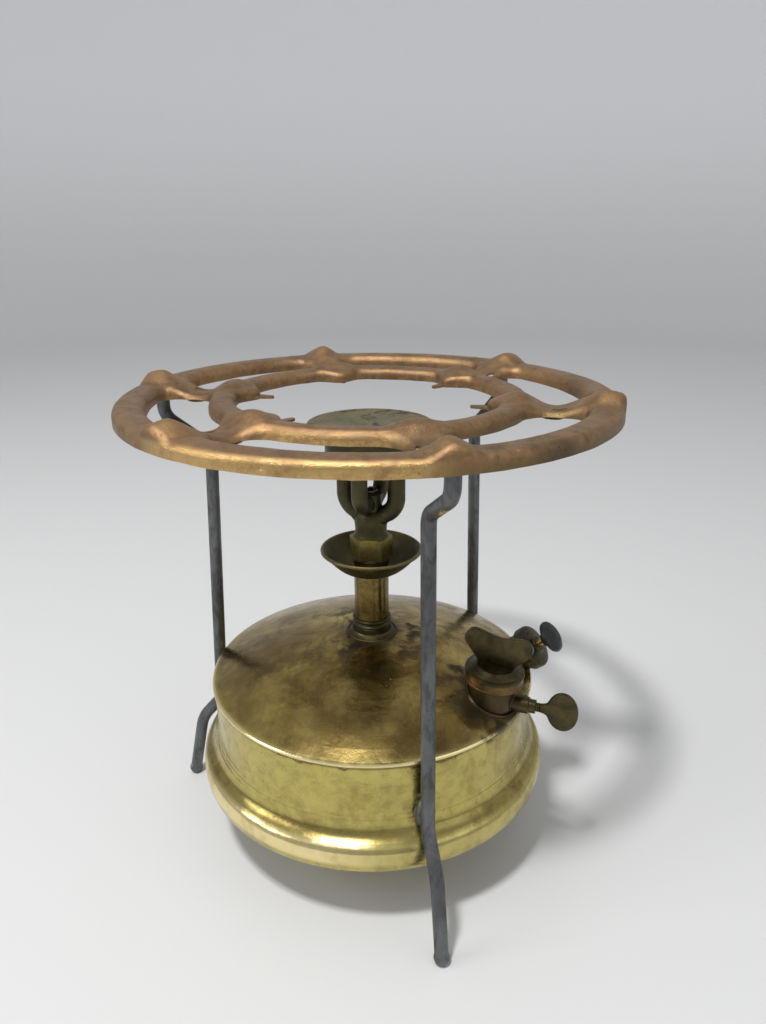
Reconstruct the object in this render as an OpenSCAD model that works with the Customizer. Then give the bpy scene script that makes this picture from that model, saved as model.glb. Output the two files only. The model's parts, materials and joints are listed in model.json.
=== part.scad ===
// Roarer-burner pressure stove on three bent legs, with a pressed pan ring.
// Millimetres, +Z up. The origin is on the ground, under the middle of the tank.
// Azimuths are measured from the front, -Y, towards +X.

/* [Tank] */
// Radius of the straight wall of the tank
wall_r = 75.4; // [70:0.2:82]
// Thickness of the drawn sheet
shell_t = 0.9; // [0.6:0.1:1.4]
// Height of the shoulder, where the wall meets the dome
shoulder_z = 81.4; // [76:0.2:86]
// Radius of the rolled bead at the shoulder
bead_r = 1.2; // [0.8:0.1:1.8]
// Rise of the dome above the shoulder
dome_rise = 19; // [15:0.5:23]
// Height at which the wall starts to flare out to the base
flare_z = 55.5; // [54:0.5:60]
// Height of the lowest edge of the base rim
rim_z = 32.6; // [30:0.2:36]
// How far the base swells out past the wall
swell = 7.9; // [5:0.1:9]
// Height of the widest line of the base, above the rim
swell_h = 6.4; // [5:0.2:8]
// Rise of the dished bottom plate at its middle
bottom_rise = 3.4; // [1:0.2:5]

/* [Riser and priming cup] */
// Outer radius of the riser tube
riser_r = 8.05; // [7:0.05:9]
// Radius of the vapour bore of the riser
riser_bore_r = 4.2; // [3.4:0.1:5]
// Height of the top face of the riser, where the burner seats
riser_top_z = 139; // [134:0.5:144]
// Outer radius of the collar at the riser's foot
collar_r = 9.2; // [8.8:0.1:11]
// Height of the collar's bead
collar_top_z = 109.2; // [107:0.2:113]
// Outer radius of the dip pipe inside the tank
dip_r = 3.2; // [2.4:0.1:3.8]
// Height of the dip pipe's open end
dip_end_z = 45; // [43:0.5:50]
// Radius of the priming cup at its rim
cup_r = 22.6; // [20:0.2:26]
// Height of the underside of the priming cup
cup_z = 132.2; // [130:0.2:134]
// Depth of the priming cup
cup_h = 11.4; // [9:0.2:13]
// Sheet thickness of the priming cup
cup_t = 0.9; // [0.7:0.1:1.4]

/* [Burner] */
// Width of the burner's hexagon across its flats
hex_af = 17; // [16:0.1:20]
// Height of the hexagon
hex_h = 9.8; // [8:0.2:12]
// Radius of the burner's threaded spigot
spigot_r = 6.2; // [5.6:0.1:6.8]
// Length of the spigot inside the riser
spigot_l = 8; // [6:0.5:10]
// Thickness of the burner's washer
washer_t = 0.9; // [0.6:0.1:1.4]
// Radius of the narrowest part of the burner's neck
neck_r = 7.2; // [6.4:0.1:8]
// Outer radius of the two feed tubes
tube_r = 4; // [3.4:0.1:4.2]
// Outer radius of the two return tubes
return_r = 3.6; // [3.2:0.1:4]
// Wall thickness of the vapour tubes
tube_wall = 1; // [0.7:0.1:1.4]
// Distance of the vapour tubes from the burner's axis
tube_ring_r = 12.4; // [12:0.1:14]
// Azimuth of the first feed tube
tube_az = 63.4; // [40:0.2:85]
// Outer radius of the burner bowl
bowl_r = 20; // [18.5:0.1:22]
// Height of the burner bowl's underside
bowl_z = 185; // [183:0.5:188]
// Height of the burner bowl
bowl_h = 14; // [12:0.5:15]
// Radius of the loose flame plate
plate_r = 27.9; // [25:0.1:32]
// Height of the flame plate's rim
plate_z = 202; // [201:0.2:204]

/* [Filler and air screw] */
// Distance of the filler from the tank's axis
filler_dist = 64.2; // [62:0.2:65]
// Azimuth of the filler
filler_az = 51; // [44:1:56]
// Outward lean of the filler
filler_tilt = 5.5; // [0:0.5:7]
// Outer radius of the filler neck
filler_neck_r = 10.2; // [9.6:0.1:10.6]
// Wall thickness of the filler neck
filler_wall = 1.8; // [1.4:0.1:2.2]
// Height of the filler neck's top
filler_top_z = 101.2; // [100:0.2:103]
// Outer radius of the filler cap's skirt
cap_r = 13; // [12.6:0.1:14]
// Height of the cap's skirt
cap_skirt_h = 5.6; // [4:0.2:6]
// Height of the cap's cone above the skirt
cap_cone_h = 2.4; // [2:0.2:6]
// Span of the butterfly wing on the cap
wing_span = 29.8; // [26:0.2:34]
// Height of the butterfly wing above the cap
wing_h = 14.6; // [13:0.2:17]
// Thickness of the butterfly wing
wing_t = 2.4; // [1.8:0.1:3]
// Thickness of the filler washer
filler_washer_t = 1.4; // [1:0.1:2]
// Azimuth along which the air screw points
air_az = 65; // [60:1:72]
// Height of the air screw's axis
air_z = 86.6; // [86.4:0.1:88]
// Radius of the air screw's boss
air_boss_r = 3.7; // [3.2:0.1:4]
// Distance of the end of the boss from the filler's axis
air_boss_end = 20; // [18:0.5:22]
// Radius of the air screw
air_screw_r = 2; // [1.6:0.1:2.4]
// Length of the paddle that turns the air screw
paddle_l = 13.4; // [12:0.5:17]
// Width of the paddle
paddle_w = 19.8; // [16:0.2:21]
// Thickness of the paddle
paddle_t = 1.8; // [1.4:0.1:2.4]

/* [Pump] */
// Azimuth along which the pump points
pump_az = 60; // [58:1:64]
// Upward slope of the pump
pump_slope = 41; // [40:0.5:43]
// Outer radius of the pump barrel
barrel_r = 8.9; // [8.4:0.1:9.2]
// Wall thickness of the pump barrel
barrel_t = 0.8; // [0.6:0.1:1.2]
// Outer radius of the pump's cap
pump_cap_r = 10.4; // [10:0.1:10.8]
// Length of the pump cap's skirt
pump_cap_l = 4; // [3:0.1:4.4]
// Radius of the pump rod
pump_rod_r = 2; // [1.6:0.1:2.4]
// Radius of the pump knob
knob_r = 7.7; // [6.5:0.1:9]
// Stroke of the pump, from which the barrel takes its length
pump_stroke = 37; // [30:1:38]
// Gap between the pump's cap and the knob's hub
knob_gap = 3.6; // [2:0.2:6]

/* [Legs] */
// Diameter of the leg rods
leg_d = 5.9; // [5:0.1:6.4]
// Azimuth of the front leg
leg_az = 12.4; // [0:0.2:30]
// How far a leg's top stands in from the edge of the pan ring
leg_inset = 7.8; // [7:0.1:8.6]
// Gap between a leg and the bead at the tank's shoulder
leg_gap = 0.8; // [0.3:0.1:1.6]
// Height at which the S-bend starts, from above
leg_bend_z = 204.9; // [202:0.1:206]
// Outward splay of the long straight of a leg
leg_splay = 2.4; // [2.2:0.1:2.8]
// Height of the kink where a leg turns out under the flare
leg_kink_z = 53.2; // [53:0.1:55]
// Distance of a foot from the axis
foot_r = 100.6; // [96:0.2:106]
// Radius of the swollen foot
foot_ball_r = 3.4; // [3:0.1:4]

/* [Pan ring] */
// Outer radius of the pan ring
ring_r = 105.8; // [104:0.2:109]
// Sheet thickness of the pan ring
ring_t = 1.1; // [0.8:0.1:1.4]
// Height of the pan ring's top
ring_z = 215.8; // [214:0.2:219]
// Depth of the turned-down edges
ring_depth = 5.4; // [5:0.2:7]
// Radius of the rounded edges
ring_roll = 3.6; // [2.4:0.1:4]
// Rise of the crown across the ring's bands
crown_h = 0.9; // [0.4:0.1:1.2]
// Width of the band outside the six windows
outer_band = 13.2; // [12:0.1:14]
// Inner radius of the six windows
window_in_r = 68; // [66:0.2:70]
// Corner radius of the six windows
window_corner = 8; // [6:0.2:9]
// Half the width of a spoke
spoke_half = 8.6; // [7.6:0.1:10]
// Radius of the middle opening
opening_r = 57; // [54:0.2:59]
// How far the bosses reach into the middle opening
boss_reach = 6.5; // [4:0.1:8]
// Height of a hump above the ring
hump_h = 4.6; // [3:0.1:5]
// How far the highest point of a hump stands in from the ring's edge
hump_inset = 8.4; // [7:0.2:10]
// Height of a boss above the ring
boss_h = 2.6; // [1:0.1:3]
// Depth of the dip in each spoke
spoke_dip = 3.2; // [2:0.1:3.4]
// Reach of the finger tabs past the bosses
tab_reach = 9; // [6:0.2:11]

/* [Hidden] */
$fn = 48;

// Clearances that the fits share
fit_gap = 0.05;
solder_gap = 0.02;
rest_gap = 0.3;
// Overlap of a cutting tool past the face that it cuts
cut = 1;

// Colours, as the photo shows them
brass = [0.62, 0.54, 0.28];
dark_brass = [0.36, 0.32, 0.2];
patina = [0.27, 0.26, 0.18];
bronze = [0.52, 0.38, 0.24];
steel = [0.36, 0.38, 0.4];
leather_brown = [0.3, 0.2, 0.12];
lead_grey = [0.45, 0.45, 0.46];

// Steps in each round stretch of an outline
arc_steps = 6;
function arc(cx, cy, r, from, to, n = arc_steps) =
    [for (i = [0:n]) let (a = from + (to - from) * i / n) [cx + r * cos(a), cy + r * sin(a)]];
function mix(a, b, t) = a + (b - a) * t;

// Turns a piece drawn in the XZ plane, with +X outwards, to its azimuth
module at_azimuth(az) rotate([0, 0, az - 90]) children();

// Turns +Z to a direction given by its azimuth and its slope above the level
module point_along(az, slope) at_azimuth(az) rotate([0, 90 - slope, 0]) children();

// A ring turned from an outline of [radius, height] points
module turned(points) rotate_extrude() polygon(points);

module tube(r_out, r_in, h) difference() {
    cylinder(r = r_out, h = h);
    translate([0, 0, -cut]) cylinder(r = r_in, h = h + 2 * cut);
}

// A rod that starts up +Z and bends in the XZ plane. Each move is a straight length, and then the
// radius and the angle of the bend that follows it, positive towards +X. A bore makes it a tube.
// The bends are a hair fatter than the straights that run into them, so both meet on clean edges.
rod_lap = 0.3;
bend_extra = 0.02;
function rod_at(moves, i) = i == 0 ? [0, 0, 0] : let (
        p = rod_at(moves, i - 1),
        len = moves[i - 1][0],
        r = sign(moves[i - 1][2]) * moves[i - 1][1],
        from = p[2],
        to = from + moves[i - 1][2]
    ) [p[0] + len * sin(from) + r * (cos(from) - cos(to)),
       p[1] + len * cos(from) - r * (sin(from) - sin(to)), to];
module bent_rod(r, moves, bore = 0) for (i = [0:len(moves) - 1]) {
    p = rod_at(moves, i);
    len = moves[i][0];
    bend_r = sign(moves[i][2]) * moves[i][1];
    turn = moves[i][2];
    before = i > 0 ? rod_lap : 0;
    after = turn == 0 ? 0 : rod_lap;
    translate([p[0], 0, p[1]]) rotate([0, p[2], 0]) translate([0, 0, -before])
        rod_section(r, bore, len + before + after);
    if (turn != 0)
        translate([p[0] + len * sin(p[2]) + bend_r * cos(p[2]), 0,
                   p[1] + len * cos(p[2]) - bend_r * sin(p[2])])
            rotate([90, 0, 0]) rotate([0, 0, turn > 0 ? 180 - p[2] - turn : -p[2]])
                rotate_extrude(angle = abs(turn)) translate([abs(bend_r), 0])
                    rod_face(r + bend_extra, bore > 0 ? bore - bend_extra : 0);
}
module rod_section(r, bore, len) linear_extrude(len) rod_face(r, bore);
module rod_face(r, bore) difference() {
    circle(r = r);
    if (bore > 0) circle(r = bore);
}

// Tank: one outline serves for the outside, and set in by the sheet for the inside
bead_z = shoulder_z - bead_r * 0.4;
dome_edge_z = shoulder_z + bead_r * 0.6;
dome_steps = 14;
function dome_z(r) = dome_edge_z + dome_rise * (1 - pow(r / wall_r, 2));
flare_end_z = rim_z + swell_h + 2;
flare_steps = 8;
rim_in = 2.4;
function flare_r(t) = wall_r + swell * (1 - cos(180 * t)) / 2;
function tank_outline(e) = concat(
    [for (i = [0:dome_steps]) let (r = (wall_r - e) * i / dome_steps) [r, dome_z(r) - e]],
    e > 0 ? [] : arc(wall_r, bead_z, bead_r, 80, -80),
    [for (i = [0:flare_steps]) let (t = i / flare_steps)
        [flare_r(t) - e, mix(flare_z, flare_end_z, t)]],
    [for (a = [0:15:90]) [wall_r + swell - e - rim_in * (1 - cos(a)),
                          rim_z + swell_h - swell_h * sin(a)]]
);
inner_rim_r = wall_r + swell - shell_t;

module tank_solid(e = 0) turned(concat(tank_outline(e), [[0, rim_z]]));

module tank_shell() color(brass) difference() {
    tank_solid();
    tank_solid(shell_t);
    translate([0, 0, rim_z - cut]) cylinder(r = inner_rim_r - rim_in, h = 2 * cut);
    translate([0, 0, shoulder_z]) cylinder(r = riser_r + solder_gap, h = 3 * dome_rise);
    at_filler() translate([0, 0, -dome_rise])
        cylinder(r = filler_neck_r + solder_gap, h = 2 * dome_rise);
    at_pump() translate([0, 0, -barrel_l / 2]) cylinder(r = barrel_r + solder_gap, h = barrel_l);
}

// Inner radius of the tank at a height on its rolled-in rim
function rim_inner_r(z) = inner_rim_r
    - rim_in * (1 - cos(asin(min(1, (rim_z + swell_h - z) / swell_h))));
bottom_z = rim_z + 3;
bottom_edge_h = 1.4;
bottom_r = rim_inner_r(bottom_z - bottom_edge_h) - fit_gap;
bottom_steps = 8;
function bottom_plate_z(r) = bottom_z + bottom_rise * (1 - pow(r / bottom_r, 2));
module tank_bottom() color(brass) turned(concat(
    [for (i = [0:bottom_steps]) let (r = (bottom_r - shell_t) * i / bottom_steps)
        [r, bottom_plate_z(r)]],
    [[bottom_r - shell_t, bottom_z - bottom_edge_h], [bottom_r, bottom_z - bottom_edge_h],
     [bottom_r, bottom_z + shell_t]],
    [for (i = [bottom_steps:-1:0]) let (r = (bottom_r - shell_t) * i / bottom_steps)
        [r, bottom_plate_z(r) + shell_t]]
));

// Riser: the collar sits on the dome, the tube passes through it into the tank
collar_foot_r = collar_r + 2.2;
collar_foot_z = dome_z(riser_r) - 0.2;
collar_bead_r = 0.9;
module riser_collar() color(dark_brass) difference() {
    turned([
        [riser_r + solder_gap, collar_foot_z - 1.6],
        [collar_foot_r, collar_foot_z - 1.6],
        [collar_foot_r - 0.3, collar_foot_z + 0.3],
        [collar_r + 0.5, collar_foot_z + 1.1],
        [collar_r, collar_foot_z + 1.8],
        [collar_r, collar_foot_z + 4.2],
        [collar_r - 0.5, collar_foot_z + 4.5],
        [collar_r - 0.5, collar_foot_z + 5.1],
        [collar_r, collar_foot_z + 5.4],
        [collar_r - 0.1, collar_top_z - 3],
        [collar_r - 0.9, collar_top_z - 2.2],
        [collar_r - 0.9, collar_top_z - 1.9],
        each arc(collar_r - 0.9, collar_top_z - collar_bead_r, collar_bead_r, -80, 90),
        [riser_r + solder_gap, collar_top_z]
    ]);
    tank_solid();
}

socket_r = spigot_r + fit_gap;
socket_z = riser_top_z - spigot_l - 1;
riser_foot_z = dome_z(0) - 6;
module riser_tube() color(brass) turned([
    [riser_bore_r, riser_foot_z], [riser_r, riser_foot_z], [riser_r, riser_top_z],
    [socket_r, riser_top_z], [socket_r, socket_z], [riser_bore_r, socket_z - 1.5]
]);

module dip_pipe() color(dark_brass) {
    flange_z = riser_foot_z + 5;
    turned([
        [dip_r - 0.7, dip_end_z], [dip_r, dip_end_z], [dip_r, flange_z],
        [riser_bore_r - solder_gap, flange_z], [riser_bore_r - solder_gap, flange_z + 4],
        [dip_r - 0.7, flange_z + 4]
    ]);
}

// Priming cup: a shallow dished sheet with a rolled lip, soldered round the riser
cup_foot_r = riser_r + 1;
lip_r = 0.8;
dish_steps = 9;
dish_power = 1.8;
function dish_r(i) = mix(cup_foot_r, cup_r, i / dish_steps);
function dish_z(i) = cup_z + (cup_h - lip_r) * pow(i / dish_steps, dish_power);
function dish_lean(i) = atan(dish_power * (cup_h - lip_r) / (cup_r - cup_foot_r)
    * pow(i / dish_steps, dish_power - 1));
module priming_cup() color(patina) turned(concat(
    [[riser_r + solder_gap, cup_z]],
    [for (i = [0:dish_steps]) [dish_r(i), dish_z(i)]],
    arc(cup_r, cup_z + cup_h - lip_r, lip_r, -30, 180),
    [for (i = [dish_steps - 1:-1:1])
        [dish_r(i) - cup_t * sin(dish_lean(i)), dish_z(i) + cup_t * cos(dish_lean(i))]],
    [[riser_r + 1.4, cup_z + cup_t + 2], [riser_r + solder_gap, cup_z + cup_t + 2.4]]
));

// Burner: washer, turned base with its hexagon, four tubes, jet, bowl and loose plate
hex_z = riser_top_z + washer_t;
hex_top_z = hex_z + hex_h;
base_top_z = hex_top_z + 12.6;
feed_bore_r = 2;
feed_start_z = hex_top_z + 8.9;
branch_z = feed_start_z + 2.4;
module burner_washer() color(lead_grey) translate([0, 0, riser_top_z])
    tube(riser_r + 0.6, spigot_r + solder_gap, washer_t);

module burner_base() color(patina) difference() {
    union() {
        translate([0, 0, hex_z - spigot_l]) cylinder(r = spigot_r, h = spigot_l + cut);
        translate([0, 0, hex_z]) rotate([0, 0, -5])
            cylinder(r = hex_af / 2 / cos(30), h = hex_h, $fn = 6);
        turned([
            [0, hex_top_z - cut], [neck_r + 0.7, hex_top_z - cut], [neck_r + 0.7, hex_top_z + 0.5],
            [neck_r + 0.2, hex_top_z + 1.4], [neck_r, hex_top_z + 2.8], [neck_r + 0.1, hex_top_z + 4.6],
            [neck_r + 0.4, hex_top_z + 7], [neck_r + 0.3, hex_top_z + 9.4],
            [neck_r - 0.5, hex_top_z + 11.4], [neck_r - 1.8, base_top_z], [0, base_top_z]
        ]);
    }
    translate([0, 0, hex_z - spigot_l - cut])
        cylinder(r = feed_bore_r, h = branch_z - hex_z + spigot_l + cut);
    for (side = [0, 180]) at_azimuth(tube_az + side) feed_path(tube_r + solder_gap);
}

// A feed tube leaves the base at a slant and bends up to the bowl
feed_lean = 60;
feed_bend_r = 9;
feed_start_r = 3;
feed_bend_in = feed_bend_r * (1 - cos(feed_lean));
feed_slant = (tube_ring_r - feed_start_r - feed_bend_in) / sin(feed_lean);
feed_rise = feed_slant * cos(feed_lean) + feed_bend_r * sin(feed_lean);
tube_in_bowl = 3;
module feed_path(r, bore = 0) translate([feed_start_r, 0, feed_start_z])
    rotate([0, feed_lean, 0]) bent_rod(r, [
        [feed_slant, feed_bend_r, -feed_lean],
        [bowl_z + tube_in_bowl - feed_start_z - feed_rise, 0, 0]
    ], bore);
module feed_tubes() color(patina) for (side = [0, 180])
    at_azimuth(tube_az + side) feed_path(tube_r, tube_r - tube_wall);

// A return tube comes down from the bowl and turns in to the jet block
jet_block_r = 5.2;
jet_block_z = base_top_z + solder_gap;
return_z = jet_block_z + return_r + 0.3;
jet_block_h = 2 * (return_z - jet_block_z);
return_bend_r = 6.2;
jet_bore_r = 2.1;
return_in = tube_ring_r - return_bend_r;
return_end_r = jet_bore_r + 0.4;
module return_path(r, bore = 0) translate([tube_ring_r, 0, bowl_z + tube_in_bowl])
    rotate([180, 0, 0]) bent_rod(r, [
        [bowl_z + tube_in_bowl - return_z - return_bend_r, return_bend_r, -90],
        [return_in - return_end_r, 0, 0]
    ], bore);
module return_tubes() color(patina) for (side = [90, 270])
    at_azimuth(tube_az + side) return_path(return_r, return_r - tube_wall);

module jet_block() color(patina) difference() {
    translate([0, 0, jet_block_z]) union() {
        cylinder(r = jet_block_r, h = jet_block_h);
        translate([0, 0, jet_block_h]) cylinder(r = jet_block_r - 1.4, h = jet_seat_h);
    }
    translate([0, 0, jet_block_z + 1.5]) cylinder(r = jet_bore_r, h = jet_block_h);
    for (side = [90, 270]) at_azimuth(tube_az + side) return_path(return_r + solder_gap);
    for (side = [0, 180]) at_azimuth(tube_az + side) feed_path(tube_r + solder_gap);
}

jet_seat_h = 0.4;
jet_hex_h = 1.2;
module jet() color(brass) translate([0, 0, jet_block_z + jet_block_h + jet_seat_h]) difference() {
    union() {
        translate([0, 0, -3]) cylinder(r = jet_bore_r - solder_gap, h = 3 + cut);
        cylinder(r = 3, h = jet_hex_h, $fn = 6);
        translate([0, 0, jet_hex_h]) cylinder(r1 = 2, r2 = 0.9, h = jet_hex_h);
    }
    translate([0, 0, -3 - cut]) cylinder(r = 0.8, h = 5);
}

// Bowl: a ring channel that joins the tubes, under a dish that is open at the top
throat_r = 6.5;
channel_h = 5.4;
bowl_t = 1.2;
bowl_top_z = bowl_z + bowl_h;
module burner_bowl() color(patina) difference() {
    turned([
        [throat_r, bowl_z + 0.8], [throat_r + 0.8, bowl_z], [bowl_r - 2.4, bowl_z],
        [bowl_r - 0.8, bowl_z + 0.9], [bowl_r, bowl_z + 2.6], [bowl_r, bowl_top_z - 0.6],
        [bowl_r - 0.6, bowl_top_z], [bowl_r - bowl_t, bowl_top_z - 0.4],
        [bowl_r - bowl_t, bowl_z + channel_h + 2], [bowl_r - bowl_t - 1.6, bowl_z + channel_h],
        [throat_r + 1.4, bowl_z + channel_h], [throat_r, bowl_z + channel_h + 1]
    ]);
    for (side = [0:90:270]) at_azimuth(tube_az + side) translate([tube_ring_r, 0, bowl_z - cut])
        cylinder(r = (side % 180 == 0 ? tube_r : return_r) + solder_gap, h = tube_in_bowl + cut);
}

// Flame plate: a shallow cone on three prongs that stand inside the bowl
prong_r = bowl_r - bowl_t - 3.2;
prong_w = 1.2;
prong_foot_z = bowl_z + channel_h + rest_gap;
plate_t = 1.2;
plate_sink = 1.4;
module flame_plate() color(patina) {
    turned([
        [0, plate_z - plate_sink], [plate_r - 5, plate_z - 0.2], [plate_r - 0.6, plate_z - 0.9],
        [plate_r, plate_z - 0.4], [plate_r - 0.5, plate_z + 0.3], [plate_r - 5, plate_z - 0.2 + plate_t],
        [0, plate_z - plate_sink + plate_t]
    ]);
    for (a = [0:120:240]) rotate([0, 0, a]) translate([prong_r, 0, prong_foot_z])
        cylinder(r = prong_w, h = plate_z - plate_sink - prong_foot_z + 1.4, $fn = 24);
}

// Filler: neck, washer, screw cap and wing share one leaning axis
filler_z = dome_z(filler_dist);
module at_filler() at_azimuth(filler_az) translate([filler_dist, 0, filler_z])
    rotate([0, filler_tilt, 0]) children();
neck_h = filler_top_z - filler_z;
neck_in = 6;
air_up = air_z - filler_z;

// The air screw's frame: origin on the filler's axis, +Z out along the screw
module at_air() {
    foot = [filler_dist + air_up * tan(filler_tilt), 0, air_z];
    at_azimuth(filler_az) translate(foot) rotate([0, 0, air_az - filler_az]) rotate([0, 90, 0])
        children();
}

module filler_neck() color(dark_brass) difference() {
    at_filler() {
        translate([0, 0, -neck_in]) tube(filler_neck_r, filler_neck_r - filler_wall, neck_in + neck_h);
    }
    at_air() translate([0, 0, filler_neck_r - filler_wall - 2]) cylinder(r = 1.2, h = filler_wall + 4);
}

module filler_washer() color(leather_brown) at_filler() translate([0, 0, neck_h + rest_gap])
    tube(filler_neck_r - 0.3, filler_neck_r - filler_wall - 0.6, filler_washer_t);

cap_low = neck_h - 4.4;
cap_seat = neck_h + rest_gap + filler_washer_t + fit_gap;
cap_skirt_top = cap_low + cap_skirt_h;
cap_top = cap_skirt_top + cap_cone_h;
cap_neck_r = cap_r - 4;
module cap_outside() turned([
    [0, cap_low], [cap_r - 0.4, cap_low], [cap_r, cap_low + 0.5], [cap_r, cap_low + 0.9],
    [cap_r - 0.3, cap_low + 1.2], [cap_r - 0.3, cap_skirt_top - 1.1], [cap_r, cap_skirt_top - 0.8],
    [cap_r - 0.1, cap_skirt_top - 0.3], [cap_r - 0.7, cap_skirt_top], [cap_r - 1.5, cap_skirt_top + 0.2],
    [cap_neck_r + 0.8, cap_top - 1.2], [cap_neck_r - 0.6, cap_top - 0.2], [cap_neck_r - 3, cap_top],
    [0, cap_top + 0.3]
]);
module filler_cap() color(dark_brass) at_filler() difference() {
    cap_outside();
    translate([0, 0, cap_low - cut]) cylinder(r = filler_neck_r + fit_gap, h = cap_seat - cap_low + cut);
}

// Wing: two round lobes on straight flanks that touch them, with a dip between, in its own plane
lobe_r = wing_h * 0.31;
lobe_x = wing_span / 2 - lobe_r;
lobe_y = wing_h - lobe_r;
wing_foot = cap_r * 0.59;
wing_in = 2.8;
wing_dip = 1.8;
wing_turn = -26;
// A flat outline drawn for its right half and closed by that half's mirror image
function both_sides(points) = concat(
    points, [for (i = [len(points) - 1:-1:0]) [-points[i][0], points[i][1]]]
);
flank_l = sqrt(pow(lobe_x - wing_foot, 2) + lobe_y * lobe_y - lobe_r * lobe_r);
flank_angle = atan2(lobe_y, lobe_x - wing_foot) - atan2(lobe_r, flank_l);
wing_steps = 14;
dip_steps = 8;
function wing_dip_z(x) = wing_h - wing_dip * pow(1 - pow(x / lobe_x, 2), 2);
module wing_shape() polygon(both_sides(concat(
    [[wing_foot, -wing_in], [wing_foot, 0]],
    [for (i = [0:wing_steps])
        let (a = flank_angle - 90 + (180 - flank_angle) * i / wing_steps)
        [lobe_x + lobe_r * cos(a), lobe_y + lobe_r * sin(a)]],
    [for (i = [1:dip_steps])
        let (x = lobe_x * (1 - i / (dip_steps + 0.5))) [x, wing_dip_z(x)]]
)));
module cap_wing() color(dark_brass) difference() {
    at_filler() rotate([0, 0, wing_turn - filler_az + 90]) translate([0, wing_t / 2, cap_top])
        rotate([90, 0, 0]) linear_extrude(wing_t) wing_shape();
    at_filler() cap_outside();
}

// Air screw: a boss on the neck, a pointed screw and the paddle that turns it
air_pitch = 0.7;
boss_tip_r = air_boss_r - 0.7;
module air_boss() color(dark_brass) difference() {
    at_air() difference() {
        turned([
            [0, filler_neck_r - 3], [air_boss_r, filler_neck_r - 3], [air_boss_r, air_boss_end - 3],
            [boss_tip_r, air_boss_end - 2.6], [boss_tip_r, air_boss_end], [0, air_boss_end]
        ]);
        translate([0, 0, filler_neck_r + 1.4]) cylinder(r = air_screw_r + fit_gap, h = air_boss_end);
        translate([0, 0, 0]) cylinder(r = 0.9, h = air_boss_end);
    }
    at_filler() translate([0, 0, -dome_rise]) cylinder(r = filler_neck_r + solder_gap, h = 2 * dome_rise);
}

air_screw_start = filler_neck_r + 1.6;
paddle_start = air_boss_end + 1.6;
paddle_neck = 3.2;
module air_screw() color(dark_brass) at_air() translate([0, 0, air_screw_start])
    cylinder(r = air_screw_r, h = paddle_start - air_screw_start);

// Paddle: an oval blade on a tapered shank, drawn in the plane of the screw's axis
paddle_turn = 6;
paddle_steps = 22;
module paddle_shape() polygon(both_sides(concat(
    [[air_screw_r, 0], [air_screw_r + 0.3, paddle_neck * 0.6], [air_screw_r + 1, paddle_neck]],
    [for (i = [0:paddle_steps - 1])
        let (a = -62 + 152 * i / paddle_steps)
        [paddle_w / 2 * cos(a), paddle_neck + paddle_l / 2 * (1 + sin(a))]]
)));
module air_paddle() color(dark_brass) at_air() rotate([0, 0, paddle_turn])
    translate([0, paddle_t / 2, paddle_start]) rotate([90, 0, 0]) linear_extrude(paddle_t)
        paddle_shape();

// Pump: the frame's origin is the middle of the cap, +Z out along the rod
pump_cap_at = [77.4, -6.9, 92];
module at_pump() translate(pump_cap_at) point_along(pump_az, pump_slope) children();
barrel_in_r = barrel_r - barrel_t;
barrel_top = -1.2;
piston_low = 8;
piston_high = 3.3;
stroke_spare = 3.7;
barrel_l = pump_stroke + piston_low + piston_high + stroke_spare;
barrel_end = barrel_top - barrel_l;

module pump_barrel() color(dark_brass) at_pump() translate([0, 0, barrel_end])
    tube(barrel_r, barrel_in_r, barrel_l);

cap_crown = 3.2;
module pump_cap() color(dark_brass) at_pump() difference() {
    turned([
        [0, -pump_cap_l], [pump_cap_r - 0.4, -pump_cap_l], [pump_cap_r, -pump_cap_l + 0.5],
        [pump_cap_r, 0.2], [pump_cap_r - 0.4, 1], [pump_cap_r - 2, 1.5], [pump_rod_r + 3, 2],
        [pump_rod_r + 1.8, 2.6], [pump_rod_r + 1.6, cap_crown], [0, cap_crown]
    ]);
    translate([0, 0, -pump_cap_l - cut]) {
        cylinder(r = barrel_r + solder_gap, h = pump_cap_l + cut + barrel_top);
        cylinder(r = pump_rod_r + fit_gap, h = pump_cap_l + cap_crown + 2 * cut);
    }
    translate([-pump_cap_r * 0.6, 0, barrel_top - cut]) cylinder(r = 0.8, h = 4 * cut, $fn = 24);
}

knob_hub = 3;
knob_z = cap_crown + knob_gap + knob_hub;
piston_z = barrel_end + piston_low;
rod_low = piston_z - 3.4;
module pump_rod() color(dark_brass) at_pump() translate([0, 0, rod_low])
    cylinder(r = pump_rod_r, h = knob_z - rod_low);

knob_t = 3.6;
module pump_knob() color(steel) at_pump() translate([0, 0, knob_z]) difference() {
    turned([
        [0, -knob_hub], [pump_rod_r + 1.2, -knob_hub], [pump_rod_r + 1.4, -1],
        [knob_r - 1.2, -0.2], [knob_r - 0.2, 0.3],
        [knob_r, 1], [knob_r - 0.2, 1.8], [knob_r - 1.4, knob_t - 1], [knob_r - 3.4, knob_t - 0.3],
        [0, knob_t]
    ]);
    translate([0, 0, -knob_hub - cut]) cylinder(r = pump_rod_r + solder_gap, h = knob_hub + cut + 0.02);
}

leather_r = barrel_in_r - fit_gap;
leather_h = 4.6;
module pump_leather() color(leather_brown) at_pump() translate([0, 0, piston_z]) difference() {
    turned([
        [0, 1.2], [leather_r - 1.8, 1.2], [leather_r - 1.4, 0.8], [leather_r - 1.4, -leather_h + 1.2],
        [leather_r, -leather_h + 1.2], [leather_r, 1.6], [leather_r - 1.2, 2.4], [0, 2.4]
    ]);
    translate([0, 0, -leather_h]) cylinder(r = pump_rod_r + solder_gap, h = 2 * leather_h);
}

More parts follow.
